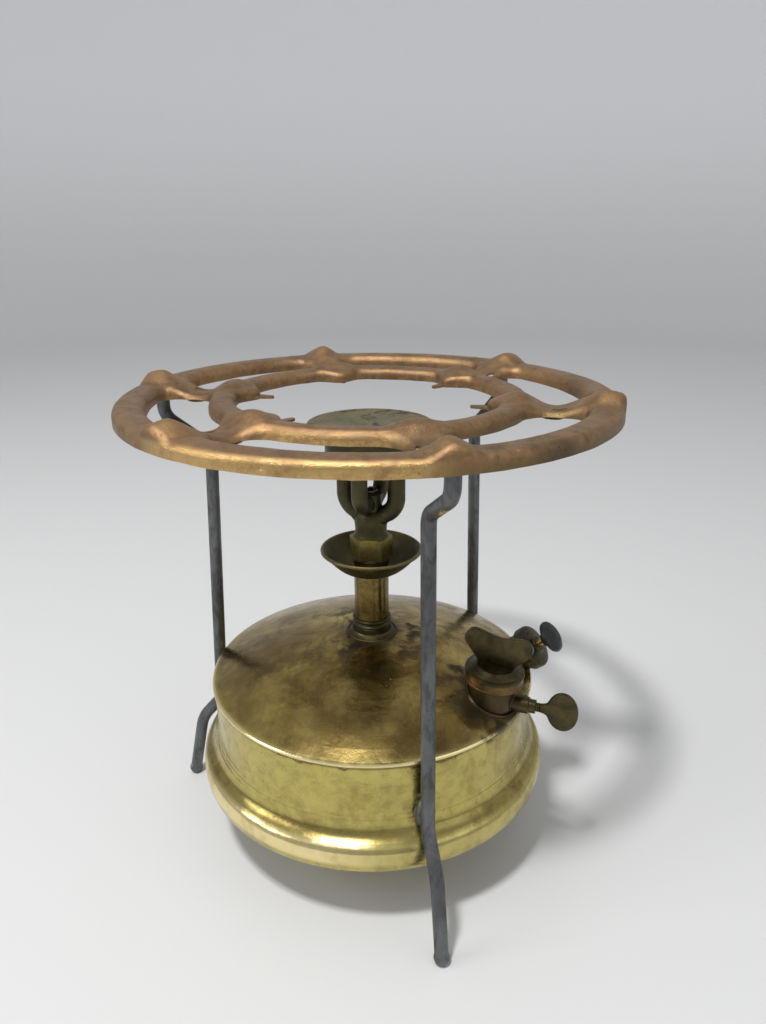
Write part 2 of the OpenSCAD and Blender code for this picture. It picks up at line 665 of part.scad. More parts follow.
washer_disc_t = 0.9;
module leather_washers() color(dark_brass) at_pump() {
    translate([0, 0, piston_z + piston_high - washer_disc_t])
        tube(leather_r - 1.4, pump_rod_r + solder_gap, washer_disc_t);
    translate([0, 0, piston_z + 1.2 - washer_disc_t])
        tube(leather_r - 2.2, pump_rod_r + solder_gap, washer_disc_t);
}

module pump_nut() color(brass) at_pump()
    translate([0, 0, piston_z + 1.2 - washer_disc_t - 2.4]) difference() {
        cylinder(r = pump_rod_r + 2, h = 2.4, $fn = 6);
        translate([0, 0, -cut]) cylinder(r = pump_rod_r + solder_gap, h = 2.4 + 2 * cut);
    }

// Check valve at the inner end of the barrel: body, rubber pip, spring and perforated plug
check_l = 12;
check_bore_r = 4.2;
pip_travel = 0.8;
module check_body() color(brass) at_pump() translate([0, 0, barrel_end]) difference() {
    turned([
        [0, 2], [barrel_in_r - solder_gap, 2], [barrel_in_r - solder_gap, -0.02], [barrel_r, -0.02],
        [barrel_r, -1.6], [6.4, -2.2], [6.4, 2 - check_l], [0, 2 - check_l]
    ]);
    translate([0, 0, 1 - check_l]) cylinder(r = check_bore_r, h = check_l - 2.2);
    translate([0, 0, 1 - check_l]) cylinder(r = 1.2, h = 2 * check_l);
}

pip_z = -3.2 - rest_gap;
module check_pip() color(leather_brown) at_pump() translate([0, 0, barrel_end + pip_z])
    cylinder(r = check_bore_r - 0.4, h = 2);

plug_top = 2 - check_l + 2;
module check_spring() color(steel) at_pump()
    translate([0, 0, barrel_end + plug_top + pip_travel + 0.1])
        tube(2.6, 1.9, pip_z - plug_top - pip_travel - 0.1);

module check_plug() color(brass) at_pump() translate([0, 0, barrel_end + 2 - check_l]) difference() {
    cylinder(r = check_bore_r - solder_gap, h = 2);
    for (a = [0:90:270]) rotate([0, 0, a]) translate([2.6, 0, -cut])
        cylinder(r = 0.6, h = 2 + 2 * cut, $fn = 24);
}

// Height of the pan ring's top at a radius and a sideways distance from a spoke's middle: the
// crowned bands, the humps over the legs, the bosses by the middle opening and the spokes' dips
window_out_r = ring_r - outer_band;
hump_dist = ring_r - hump_inset;
hump_w = 10.6;
hump_l = 11;
hump_fall = 0.3;
boss_w = 13;
boss_l = 11;
dip_l = 12;
dip_dist = (window_out_r + window_in_r) / 2 - 2;
inner_band_drop = 0.8;
boss_dist = opening_r + 5;
function bump(t) = abs(t) < 1 ? pow(1 - t * t, 2) : 0;
function crown(t) = abs(t) < 1 ? 1 - t * t : 0;
function hump_run(r) = r < hump_dist ? bump((r - hump_dist) / hump_l) :
    1 - hump_fall * pow((r - hump_dist) / hump_inset, 2);
function ring_top_z(r, side) = ring_z
    + crown_h * crown((r - ring_r + outer_band / 2) / outer_band * 2)
    + crown_h * crown((r - (opening_r + window_in_r) / 2) / (window_in_r - opening_r) * 2)
    + hump_h * hump_run(r) * bump(side / hump_w)
    + boss_h * bump((r - boss_dist) / boss_l) * bump(side / boss_w)
    - spoke_dip * bump((r - dip_dist) / dip_l)
    - inner_band_drop * (1 - bump(max(0, dip_dist - r) / (dip_dist - opening_r)));

// Legs: bent rods from the humps of the pan ring down to the ground
s_angle = 58;
s_top_r = 8;
s_low_r = 7;
kink_angle = 40;
kink_r = 7;
foot_angle = 12;
foot_bend_r = 22;
leg_r = leg_d / 2;
leg_tip_h = 1;
leg_top_r = ring_r - leg_inset;
tip_r = leg_r - leg_tip_h;
// The top of a leg stays clear of the hump's underside all the way round its tip. The sheet's
// flat facets hang below its rounded form by up to the sag.
hump_sag = 0.7;
leg_top_z = min([for (a = [0:30:330]) ring_top_z(leg_top_r + tip_r * cos(a), tip_r * sin(a))])
    - ring_t - rest_gap - hump_sag;
s_in = (s_top_r + s_low_r * cos(leg_splay)) - (s_top_r + s_low_r) * cos(s_angle);
s_bends = s_top_r * sin(s_angle) + s_low_r * (sin(s_angle) + sin(leg_splay));
// The long straight passes the shoulder's bead at its gap, and from there runs up to the S-bend
bead_pass_r = wall_r + bead_r + leg_gap + leg_r / cos(leg_splay);
s_reach = (leg_top_r - s_in) / tan(s_angle);
leg_upper_r = (bead_pass_r - tan(leg_splay) * (leg_bend_z - s_bends - s_reach - shoulder_z))
    / (1 + tan(leg_splay) / tan(s_angle));
s_slant = (leg_top_r - leg_upper_r - s_in) / sin(s_angle);
s_low_z = leg_bend_z - s_bends - s_slant * cos(s_angle);
main_l = (s_low_z - leg_kink_z) / cos(leg_splay);
kink_top_x = leg_upper_r + main_l * sin(leg_splay);
kink_out = kink_r * (cos(leg_splay) - cos(kink_angle));
kink_drop = kink_r * (sin(kink_angle) - sin(leg_splay));
foot_out = foot_bend_r * (cos(foot_angle) - cos(kink_angle));
foot_drop = foot_bend_r * (sin(kink_angle) - sin(foot_angle));
ball_z = foot_ball_r - 0.35;
left_x = foot_r - kink_top_x - kink_out - foot_out;
left_z = leg_kink_z - kink_drop - foot_drop - ball_z;
kick_l = (left_x - left_z * tan(foot_angle)) / (sin(kink_angle) - cos(kink_angle) * tan(foot_angle));
shin_l = (left_z - kick_l * cos(kink_angle)) / cos(foot_angle);

module leg_rod() translate([leg_top_r, 0, leg_top_z - leg_tip_h]) {
    rotate([180, 0, 0]) bent_rod(leg_r, [
        [leg_top_z - leg_tip_h - leg_bend_z, s_top_r, -s_angle],
        [s_slant, s_low_r, s_angle + leg_splay],
        [main_l, kink_r, kink_angle - leg_splay],
        [kick_l, foot_bend_r, -(kink_angle - foot_angle)],
        [shin_l, 0, 0]
    ]);
    cylinder(r1 = leg_r, r2 = leg_r - leg_tip_h, h = leg_tip_h);
}
module leg() difference() {
    union() {
        leg_rod();
        translate([foot_r, 0, ball_z]) sphere(r = foot_ball_r);
    }
    translate([foot_r - 4 * leg_d, -4 * leg_d, -2 * leg_d]) cube([8 * leg_d, 8 * leg_d, 2 * leg_d]);
}
module leg_front() color(steel) at_azimuth(leg_az) leg();
module leg_left() color(steel) at_azimuth(leg_az - 120) leg();
module leg_rear() color(steel) at_azimuth(leg_az + 120) leg();

solder_at_z = leg_kink_z + 3.4;
solder_at_r = (wall_r + kink_top_x - leg_r) / 2;
solder_blob_r = (kink_top_x - leg_r - wall_r) / 2 + 4;
module leg_solder() color(lead_grey) for (side = [0, 120, 240]) at_azimuth(leg_az + side)
    difference() {
        translate([solder_at_r, 0, solder_at_z]) sphere(r = solder_blob_r);
        tank_solid($fn = 240);
        leg_rod_bore();
    }
module leg_rod_bore() translate([leg_upper_r, 0, s_low_z]) rotate([180, 0, 0]) rotate([0, leg_splay, 0])
    cylinder(r = leg_r + solder_gap, h = main_l + 4 * kink_r);

// Pan ring: one pressed sheet. The surface is laid over a net that runs in loops round each
// window, from the window's turned-down edge to the ring's edges and the middles of the spokes.
// Inner edge of the sheet: a circle with a bay of metal at each spoke
function inner_edge_r(a) = opening_r - boss_reach * bump((30 - abs(a)) / 11);

corner_steps = 3;
out_steps = 2 * corner_steps + 8;
side_steps = 2 * corner_steps + 5;
in_steps = 2 * corner_steps + 6;
loop_n = out_steps + side_steps + in_steps + side_steps;
roll_steps = 3;
flat_steps = 3;
k_flat = roll_steps + 1;
k_end = k_flat + flat_steps;
outer_cols = 6 * out_steps;
inner_cols = 6 * in_steps;

// Spacing along a side of the window: short steps in the corners and long ones between them
function spaced(i, n, len, corner) =
    i <= corner_steps ? corner * i / corner_steps :
    i >= n - corner_steps ? len - corner * (n - i) / corner_steps :
    corner + (len - 2 * corner) * (i - corner_steps) / (n - 2 * corner_steps);

// Rounds a corner: a point at distance s along one side moves along it and in from it
function round_along(s) = s >= window_corner ? s : window_corner * (1 - sin(45 * (1 - s / window_corner)));
function round_in(s) = s >= window_corner ? 0 : window_corner * (1 - cos(45 * (1 - s / window_corner)));

// Window edge in one sector, as [radius, angle from the window's middle], set back by d
function angle_at(r, side) = 30 - asin(side / r);
function window_arc(i, n, r0, inward, d) = let (
        edge = r0 + inward * -d,
        half = angle_at(r0, spoke_half) * PI / 180 * r0,
        s = spaced(i, n, 2 * half, window_corner),
        near = min(s, 2 * half - s),
        along = round_along(near),
        turn = (half - along) / r0 * 180 / PI,
        lean = near < window_corner ? 45 * (1 - near / window_corner) : 0,
        r = r0 + inward * (round_in(near) - d * cos(lean)),
        shift = d * sin(lean) / r0 * 180 / PI
    ) [r, (s < half ? -1 : 1) * (turn + shift)];
function window_side(i, n, d) = let (
        len = window_out_r - window_in_r,
        s = spaced(i, n, len, window_corner),
        near = min(s, len - s),
        lean = near < window_corner ? 45 * (1 - near / window_corner) : 0,
        along = round_along(near) - d * sin(lean),
        r = s < len / 2 ? window_out_r - along : window_in_r + along,
        side = spoke_half + round_in(near) - d * cos(lean)
    ) [r, angle_at(r, side)];

// Which side of the loop a step is on, and how far along it
function loop_side(i) = i < out_steps ? 0 : i < out_steps + side_steps ? 1 :
    i < out_steps + side_steps + in_steps ? 2 : 3;
function window_point(i, d) = let (w = loop_side(i), i1 = i - out_steps, i2 = i1 - side_steps,
                                   i3 = i2 - in_steps)
    w == 0 ? window_arc(i, out_steps, window_out_r, -1, d) :
    w == 1 ? window_side(i1, side_steps, d) :
    w == 2 ? let (p = window_arc(i2, in_steps, window_in_r, 1, d)) [p[0], -p[1]] :
             let (p = window_side(side_steps - i3, side_steps, d)) [p[0], -p[1]];

// Where the loops end: on the ring's two edges and on the spokes' middles
hump_zone_angle = 9;
line_zone = 14.6;
rim_r = ring_r - ring_roll;
function far_point(i) = let (w = loop_side(i), i1 = i - out_steps, i2 = i1 - side_steps,
                             i3 = i2 - in_steps)
    w == 0 ? [rim_r, spaced(i, out_steps, 60, hump_zone_angle) - 30] :
    w == 1 ? [line_r(i1), 30] :
    w == 2 ? let (a = 30 - spaced(i2, in_steps, 60, hump_zone_angle + 3)) [inner_edge_r(a) + ring_roll, a] :
             [line_r(side_steps - i3), -30];
function line_r(j) = rim_r - spaced(j, side_steps, rim_r - inner_edge_r(30) - ring_roll, line_zone);

// A point of the sheet from its radius and angle. The angle runs from a spoke's middle at -30
// to the next one at 30. q is the roll radius of the face: the full one on top, less the
// sheet's thickness underneath.
function side_of(p) = p[0] * sin(30 - abs(p[1]));
function lift(p) = ring_top_z(p[0], side_of(p));
function place(p, z, sector) = let (a = p[1] + 60 * sector)
    [p[0] * cos(a), p[0] * sin(a), z];
flange_z = ring_z - ring_depth;
function roll_z(top, q, phi) = max(flange_z + 0.2, top - ring_roll + q * sin(phi));

function window_net(sector, i, k, q) = let (
        phi = 90 * (k - 1) / roll_steps,
        d = k == 0 ? ring_roll - q : ring_roll - q * cos(phi),
        edge = window_point(i, min(d, ring_roll)),
        far = far_point(i),
        t = (k - k_flat) / flat_steps
    )
    k == 0 ? place(edge, flange_z, sector) :
    k <= k_flat ? place(edge, roll_z(lift(edge), q, phi), sector) :
    let (p = mix(edge_flat(i), far, t)) place(p, lift(p) - ring_roll + q, sector);
function edge_flat(i) = window_point(i, ring_roll);

// Rows of the two free edges, outer and inner: 0 is flat, the last is the bottom of the edge
edge_rows = roll_steps + 1;
function rim_net(col, j, q) = let (
        sector = floor(col / out_steps),
        a = far_point(col % out_steps)[1],
        phi = 90 * (1 - j / roll_steps),
        r = ring_r - ring_roll + q * cos(phi),
        flat = [rim_r, a]
    ) j == edge_rows ? place([ring_r - ring_roll + q, a], flange_z, sector) :
      place([r, a], roll_z(lift(flat), q, phi), sector);
function opening_net(col, j, q) = let (
        sector = floor(col / in_steps),
        i = col % in_steps,
        a = -far_point(out_steps + side_steps + i)[1],
        phi = 90 * (1 - j / roll_steps),
        r = inner_edge_r(a) + ring_roll - q * cos(phi),
        flat = [inner_edge_r(a) + ring_roll, a]
    ) j == edge_rows ? place([inner_edge_r(a) + ring_roll - q, a], flange_z, sector) :
      place([r, a], roll_z(lift(flat), q, phi), sector);
function line_net(sector, j, q) = let (p = [line_r(j), 30])
    place(p, lift(p) - ring_roll + q, sector);

// Numbers of the points: windows first, then the outer edge, the inner edge and the lines
rim_first = 6 * loop_n * k_end;
opening_first = rim_first + outer_cols * (edge_rows + 1);
line_first = opening_first + inner_cols * (edge_rows + 1);
face_points = line_first + 6 * (side_steps - 1);
function wrap(i, n) = (i + n) % n;
function rim_id(col, j) = rim_first + wrap(col, outer_cols) * (edge_rows + 1) + j;
function opening_id(col, j) = opening_first + wrap(col, inner_cols) * (edge_rows + 1) + j;
function line_id(sector, j) =
    j == 0 ? rim_id((sector + 1) * out_steps, 0) :
    j == side_steps ? opening_id((sector + 1) * in_steps, 0) :
    line_first + wrap(sector, 6) * (side_steps - 1) + j - 1;
function net_id(sector, i0, k) = let (i = wrap(i0, loop_n), w = loop_side(i), i1 = i - out_steps,
                                      i2 = i1 - side_steps, i3 = i2 - in_steps)
    k < k_end ? (sector * loop_n + i) * k_end + k :
    w == 0 ? rim_id(sector * out_steps + i, 0) :
    w == 1 ? line_id(sector, i1) :
    w == 2 ? opening_id((sector + 1) * in_steps - i2, 0) :
             line_id(wrap(sector - 1, 6), side_steps - i3);

function sheet_points(q) = [
    for (s = [0:5], i = [0:loop_n - 1], k = [0:k_end - 1]) window_net(s, i, k, q),
    for (c = [0:outer_cols - 1], j = [0:edge_rows]) rim_net(c, j, q),
    for (c = [0:inner_cols - 1], j = [0:edge_rows]) opening_net(c, j, q),
    for (s = [0:5], j = [1:side_steps - 1]) line_net(s, j, q)
];
function quad(a, b, c, d) = [[a, b, c], [a, c, d]];
function flipped(faces) = [for (f = faces) [f[2], f[1], f[0]]];
function shifted(faces, n) = [for (f = faces) [f[0] + n, f[1] + n, f[2] + n]];

top_faces = [
    for (s = [0:5], i = [0:loop_n - 1], k = [0:k_end - 1])
        each quad(net_id(s, i, k), net_id(s, i + 1, k), net_id(s, i + 1, k + 1), net_id(s, i, k + 1)),
    for (c = [0:outer_cols - 1], j = [0:edge_rows - 1])
        each quad(rim_id(c, j), rim_id(c + 1, j), rim_id(c + 1, j + 1), rim_id(c, j + 1)),
    for (c = [0:inner_cols - 1], j = [0:edge_rows - 1])
        each quad(opening_id(c + 1, j), opening_id(c, j), opening_id(c, j + 1), opening_id(c + 1, j + 1))
];
edge_faces = [
    for (s = [0:5], i = [0:loop_n - 1])
        each quad(net_id(s, i, 0), net_id(s, i, 0) + face_points,
                  net_id(s, i + 1, 0) + face_points, net_id(s, i + 1, 0)),
    for (c = [0:outer_cols - 1])
        each quad(rim_id(c, edge_rows), rim_id(c + 1, edge_rows),
                  rim_id(c + 1, edge_rows) + face_points, rim_id(c, edge_rows) + face_points),
    for (c = [0:inner_cols - 1])
        each quad(opening_id(c + 1, edge_rows), opening_id(c, edge_rows),
                  opening_id(c, edge_rows) + face_points, opening_id(c + 1, edge_rows) + face_points)
];

module pressed_sheet() polyhedron(
    points = concat(sheet_points(ring_roll), sheet_points(ring_roll - ring_t)),
    faces = concat(top_faces, flipped(shifted(top_faces, face_points)), edge_faces),
    convexity = 8
);

// Fingers under the bosses, and pear-shaped holes in the spokes over the legs
tab_w = 4.4;
tab_root_r = opening_r - boss_reach + 1;
tab_tip_r = tab_root_r - 1 - tab_reach;
tab_z = flange_z + 1;
module finger_tab() hull() {
    translate([tab_root_r, 0, tab_z]) cylinder(r = tab_w / 2, h = ring_t, $fn = 16);
    translate([tab_tip_r, 0, tab_z]) cylinder(r = tab_w / 6, h = ring_t, $fn = 16);
}
hole_r = 2;
hole_slant = 4;
module pear_hole() hull() {
    translate([dip_dist - 2, 0, flange_z]) cylinder(r = hole_r, h = ring_depth + cut, $fn = 20);
    translate([dip_dist - 2 + hole_slant, hole_slant / 2, flange_z])
        cylinder(r = hole_r / 2, h = ring_depth + cut, $fn = 20);
}
module pan_ring() color(bronze) difference() {
    union() {
        at_azimuth(leg_az) rotate([0, 0, 30]) pressed_sheet();
        for (k = [0:5]) at_azimuth(leg_az + 60 * k) finger_tab();
    }
    for (k = [0:2]) at_azimuth(leg_az + 120 * k) pear_hole();
}

tank_shell();
tank_bottom();
riser_collar();
riser_tube();
dip_pipe();
priming_cup();
burner_washer();
burner_base();
feed_tubes();
return_tubes();
jet_block();
jet();
burner_bowl();
flame_plate();
filler_neck();
filler_washer();
filler_cap();
cap_wing();
air_boss();
air_screw();
air_paddle();
pump_barrel();
pump_cap();
pump_rod();
pump_knob();
pump_leather();
leather_washers();
pump_nut();
check_body();
check_pip();
check_spring();
check_plug();
leg_front();
leg_left();
leg_rear();
leg_solder();
pan_ring();
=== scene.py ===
"""Dresses a brass pressure stove: worn metals, a pressed ring, small pieces, a stage and a camera."""
import json
import math

import bmesh
import bpy
from mathutils import Matrix, Vector, noise
from mathutils.bvhtree import BVHTree


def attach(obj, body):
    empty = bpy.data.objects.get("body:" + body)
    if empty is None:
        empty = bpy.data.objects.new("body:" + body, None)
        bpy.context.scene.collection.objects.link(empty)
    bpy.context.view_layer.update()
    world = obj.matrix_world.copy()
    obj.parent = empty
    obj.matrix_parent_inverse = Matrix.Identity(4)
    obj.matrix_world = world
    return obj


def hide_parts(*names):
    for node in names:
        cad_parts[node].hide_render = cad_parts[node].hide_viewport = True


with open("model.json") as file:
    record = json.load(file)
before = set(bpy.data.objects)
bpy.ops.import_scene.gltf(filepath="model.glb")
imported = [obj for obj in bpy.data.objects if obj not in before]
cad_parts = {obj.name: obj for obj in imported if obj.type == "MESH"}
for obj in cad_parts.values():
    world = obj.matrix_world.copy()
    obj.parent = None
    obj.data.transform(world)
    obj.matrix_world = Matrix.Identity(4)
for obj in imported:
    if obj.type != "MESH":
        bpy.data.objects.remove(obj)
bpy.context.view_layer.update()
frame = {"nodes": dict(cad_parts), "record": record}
NODES = frame["nodes"]

bl_info = {
    "name": "Pressure stove",
    "version": (1, 0, 0),
    "blender": (4, 5, 0),
    "location": "3D View > Sidebar > Stove",
    "description": "Builds the looks of a brass pressure stove round its packed model",
    "category": "Object",
}

MM = 0.001
PER_METRE = 1000.0
# The finishes by name, filled in as they are made
FINISH = {}
# Places in millimetres and directions of the fittings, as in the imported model
FILLER_AT = (49.893, -40.402, 87.345)
FILLER_UP = (0.074486, -0.060318, 0.995396)
FILLER_TOP = 101.2
AIR_HEIGHT = 86.6
AIR_OUT = (0.906308, -0.422618, 0.0)
# Where the air screw's axis crosses the filler's
AIR_FOOT = Vector(FILLER_AT) + Vector(FILLER_UP) * ((AIR_HEIGHT - FILLER_AT[2]) / FILLER_UP[2])
PUMP_OUT = (0.653598, -0.377355, 0.656059)
# Turns round the stove's axis, in degrees from +X
LEG_TURNS = (-77.6, 42.4, 162.4)
FEED_TURNS = (-26.6, 153.4)
RETURN_TURNS = (63.4, 243.4)


# Node trees
class Tree:
    """A node tree that is written one short line at a time."""

    def __init__(self, tree):
        self.nodes = tree.nodes
        self.links = tree.links

    def put(self, socket, value):
        if isinstance(value, bpy.types.NodeSocket):
            self.links.new(value, socket)
        elif value is not None:
            if socket.type == "RGBA" and len(value) == 3:
                value = (*value, 1)
            socket.default_value = value

    def node(self, kind, inputs=None, **settings):
        made = self.nodes.new(kind)
        for name, value in settings.items():
            setattr(made, name, value)
        for name, value in (inputs or {}).items():
            self.put(made.inputs[name], value)
        return made

    def math(self, operation, a, b=None, clamp=False):
        made = self.node("ShaderNodeMath", {0: a}, operation=operation, use_clamp=clamp)
        if b is not None:
            self.put(made.inputs[1], b)
        return made.outputs[0]

    def mul(self, a, b):
        return self.math("MULTIPLY", a, b)

    def add(self, a, b):
        return self.math("ADD", a, b)

    def less(self, a, b):
        return self.math("SUBTRACT", a, b)

    def most(self, a, b):
        return self.math("MAXIMUM", a, b)

    def ranged(self, value, low, high, to_low=0.0, to_high=1.0):
        return self.node(
            "ShaderNodeMapRange",
            {"Value": value, "From Min": low, "From Max": high, "To Min": to_low, "To Max": to_high},
            interpolation_type="SMOOTHSTEP",
        ).outputs["Result"]

    def band(self, value, low, high, soft):
        """1 between two values, fading to 0 over a soft edge."""
        rise = self.ranged(value, low - soft, low + soft)
        return self.mul(rise, self.ranged(value, high - soft, high + soft, 1.0, 0.0))

    def mix(self, mask, a, b, blend="MIX"):
        made = self.nodes.new("ShaderNodeMix")
        made.data_type = "RGBA"
        made.blend_type = blend
        self.put(made.inputs[0], mask)
        self.put(made.inputs[6], a)
        self.put(made.inputs[7], b)
        return made.outputs[2]

    def noise(self, at, scale, detail=6.0, roughness=0.6, distortion=0.0):
        shape = {"Detail": detail, "Roughness": roughness, "Distortion": distortion}
        return self.node("ShaderNodeTexNoise", {"Vector": at, "Scale": scale, **shape}).outputs["Fac"]

    def stretched(self, at, scale):
        return self.node("ShaderNodeMapping", {"Vector": at, "Scale": scale}).outputs[0]

    def axes(self, at):
        """The three coordinates of a point, in millimetres."""
        metres = self.node("ShaderNodeSeparateXYZ", {0: at}).outputs
        return [self.mul(axis, PER_METRE) for axis in metres]

    def away(self, x, y, middle=(0.0, 0.0)):
        """Distance from an upright line."""
        dx, dy = self.less(x, middle[0]), self.less(y, middle[1])
        return self.math("SQRT", self.add(self.mul(dx, dx), self.mul(dy, dy)))

    def use(self, name, **inputs):
        """Adds one of the shared groups; its inputs are named with underscores for spaces."""
        made = self.nodes.new("ShaderNodeGroup")
        made.node_tree = bpy.data.node_groups[name]
        for key, value in inputs.items():
            self.put(made.inputs[key.replace("_", " ")], value)
        return made

    def cloud(self, at, scale, cover, edge):
        return self.use("Cloud", Position=at, Scale=scale, Cover=cover, Edge=edge).outputs["Mask"]

    def specks(self, at, scale, amount):
        return self.use("Specks", Position=at, Scale=scale, Amount=amount).outputs["Mask"]

    def polar(self, at):
        """Radius, azimuth and height of a point."""
        return self.use("Polar", Position=at).outputs


def new_group(name, inputs, outputs):
    """A shared shader group: its tree, the sockets it is given and the sockets it puts out."""
    tree = bpy.data.node_groups.new(name, "ShaderNodeTree")
    for label, kind, default in inputs:
        socket = tree.interface.new_socket(label, in_out="INPUT", socket_type=kind)
        if default is not None:
            socket.default_value = default
    for label, kind in outputs:
        tree.interface.new_socket(label, in_out="OUTPUT", socket_type=kind)
    t = Tree(tree)
    source = tree.nodes.new("NodeGroupInput").outputs
    target = tree.nodes.new("NodeGroupOutput").inputs
    return t, source, target


FLOAT, VECTOR = "NodeSocketFloat", "NodeSocketVector"


def group_cloud():
    """Cloudy patches of two sizes, with how much of the surface they cover."""
    t, given, out = new_group(
        "Cloud",
        [("Position", VECTOR, None), ("Scale", FLOAT, 40.0), ("Cover", FLOAT, 0.5), ("Edge", FLOAT, 0.12)],
        [("Mask", FLOAT)],
    )
    large = t.noise(given["Position"], given["Scale"], 5.0, 0.55, 0.6)
    fine = t.noise(given["Position"], t.mul(given["Scale"], 4.3), 6.0, 0.6)
    field = t.add(t.mul(large, 0.7), t.mul(fine, 0.3))
    level = t.ranged(given["Cover"], 0.0, 1.0, 0.72, 0.28)
    low = t.less(level, given["Edge"])
    t.put(out["Mask"], t.ranged(field, low, t.add(level, given["Edge"])))


def group_specks():
    """Small ragged dark spots of many sizes, gathered in places."""
    t, given, out = new_group(
        "Specks",
        [("Position", VECTOR, None), ("Scale", FLOAT, 300.0), ("Amount", FLOAT, 0.3)],
        [("Mask", FLOAT)],
    )
    field = t.noise(given["Position"], given["Scale"], 4.0, 0.6, 0.4)
    place = t.ranged(t.noise(given["Position"], t.mul(given["Scale"], 0.09), 3.0), 0.38, 0.62)
    reach = t.mul(t.mul(given["Amount"], 0.36), t.add(t.mul(place, 0.75), 0.25))
    level = t.less(0.79, reach)
    t.put(out["Mask"], t.ranged(field, level, t.add(level, 0.07)))


def group_streaks():
    """Faint marks drawn out along one direction."""
    t, given, out = new_group(
        "Streaks",
        [("Position", VECTOR, None), ("Cover", FLOAT, 0.4)],
        [("Mask", FLOAT)],
    )
    field = t.noise(given["Position"], 1.0, 5.0, 0.65, 0.3)
    level = t.ranged(given["Cover"], 0.0, 1.0, 0.7, 0.32)
    t.put(out["Mask"], t.ranged(field, level, t.add(level, 0.16)))


def group_surface():
    """Bump height of old sheet metal: slow dents, a fine grain and small pits."""
    t, given, out = new_group(
        "Old surface",
        [
            ("Position", VECTOR, None),
            ("Dents", FLOAT, 0.5),
            ("Grain", FLOAT, 0.2),
            ("Pits", FLOAT, 0.3),
            ("Pit Scale", FLOAT, 420.0),
        ],
        [("Height", FLOAT)],
    )
    at = given["Position"]
    slow = t.add(t.noise(at, 38.0, 2.0, 0.5), t.mul(t.noise(at, 210.0, 3.0), 0.14))
    dents = t.mul(slow, given["Dents"])
    grain = t.mul(t.noise(at, 1500.0, 4.0, 0.7), given["Grain"])
    pits = t.specks(at, given["Pit Scale"], given["Pits"])
    t.put(out["Height"], t.less(t.add(dents, grain), t.mul(pits, 0.25)))


def group_polar():
    """Radius and height of a point in millimetres, and its azimuth in degrees."""
    t, given, out = new_group(
        "Polar",
        [("Position", VECTOR, None)],
        [("Radius", FLOAT), ("Azimuth", FLOAT), ("Height", FLOAT)],
    )
    x, y, z = t.axes(given["Position"])
    t.put(out["Radius"], t.away(x, y))
    t.put(out["Azimuth"], t.mul(t.math("ARCTAN2", y, x), math.degrees(1)))
    t.put(out["Height"], z)


GROUPS = (group_cloud, group_specks, group_streaks, group_surface, group_polar)


# Materials
def begin(name):
    """A new finish: its node tree, its shader and the position on the stove in metres."""
    material = bpy.data.materials.new(name)
    material.use_nodes = True
    FINISH[name] = material
    t = Tree(material.node_tree)
    shader = t.nodes["Principled BSDF"]
    shader.inputs["Metallic"].default_value = 1
    return t, shader, t.node("ShaderNodeTexCoord").outputs["Object"]


def set_relief(t, shader, at, relief, distance, strength=1.0, step=None):
    """Joins the relief of old metal, its dents, grain, pits and their scale, to a shader's normal."""
    dents, grain, pits, pit_scale = relief
    surface = t.use("Old surface", Position=at, Dents=dents, Grain=grain, Pits=pits, Pit_Scale=pit_scale)
    height = surface.outputs["Height"]
    if step:
        height = t.add(height, step)
    inputs = {"Strength": strength, "Distance": distance, "Height": height}
    t.put(shader.inputs["Normal"], t.node("ShaderNodeBump", inputs).outputs["Normal"])


def set_surface(t, shader, colour, cover, roughness, metallic):
    """Joins a colour to a shader, and a roughness and metallic that run from bare to covered."""
    t.put(shader.inputs["Base Color"], colour)
    t.put(shader.inputs["Roughness"], t.ranged(cover, 0.0, 1.0, *roughness))
    t.put(shader.inputs["Metallic"], t.ranged(cover, 0.0, 1.0, *metallic))


def worn_finish(
    name,
    colours,
    roughness=(0.3, 0.5),
    cloud=(60.0, 0.5, 0.15),
    specks=(700.0, 0.4),
    metallic=(1.0, 0.85),
    relief=(0.5, 0.2, 0.3, 900.0),
    depth=0.0004,
    sooted=None,
):
    """A worn finish: cloudy patches over the bare colour, dark specks, dents, grain and pits."""
    t, shader, at = begin(name)
    bare, tarnish, dirt = colours
    patch = t.cloud(at, *cloud)
    wide = t.cloud(at, cloud[0] * 0.3, 0.5, 0.25)
    spots = t.specks(at, *specks)
    colour = t.mix(patch, bare, tarnish)
    colour = t.mix(t.mul(wide, 0.45), colour, [c * 0.6 for c in tarnish])
    colour = t.mix(t.mul(spots, 0.8), colour, dirt)
    if sooted:
        soot = t.band(t.polar(at)["Height"], *sooted, 1.0)
        colour = t.mix(t.mul(soot, 0.93), colour, (0.03, 0.026, 0.014))
    set_surface(t, shader, colour, t.most(patch, spots), roughness, metallic)
    set_relief(t, shader, at, relief, depth)


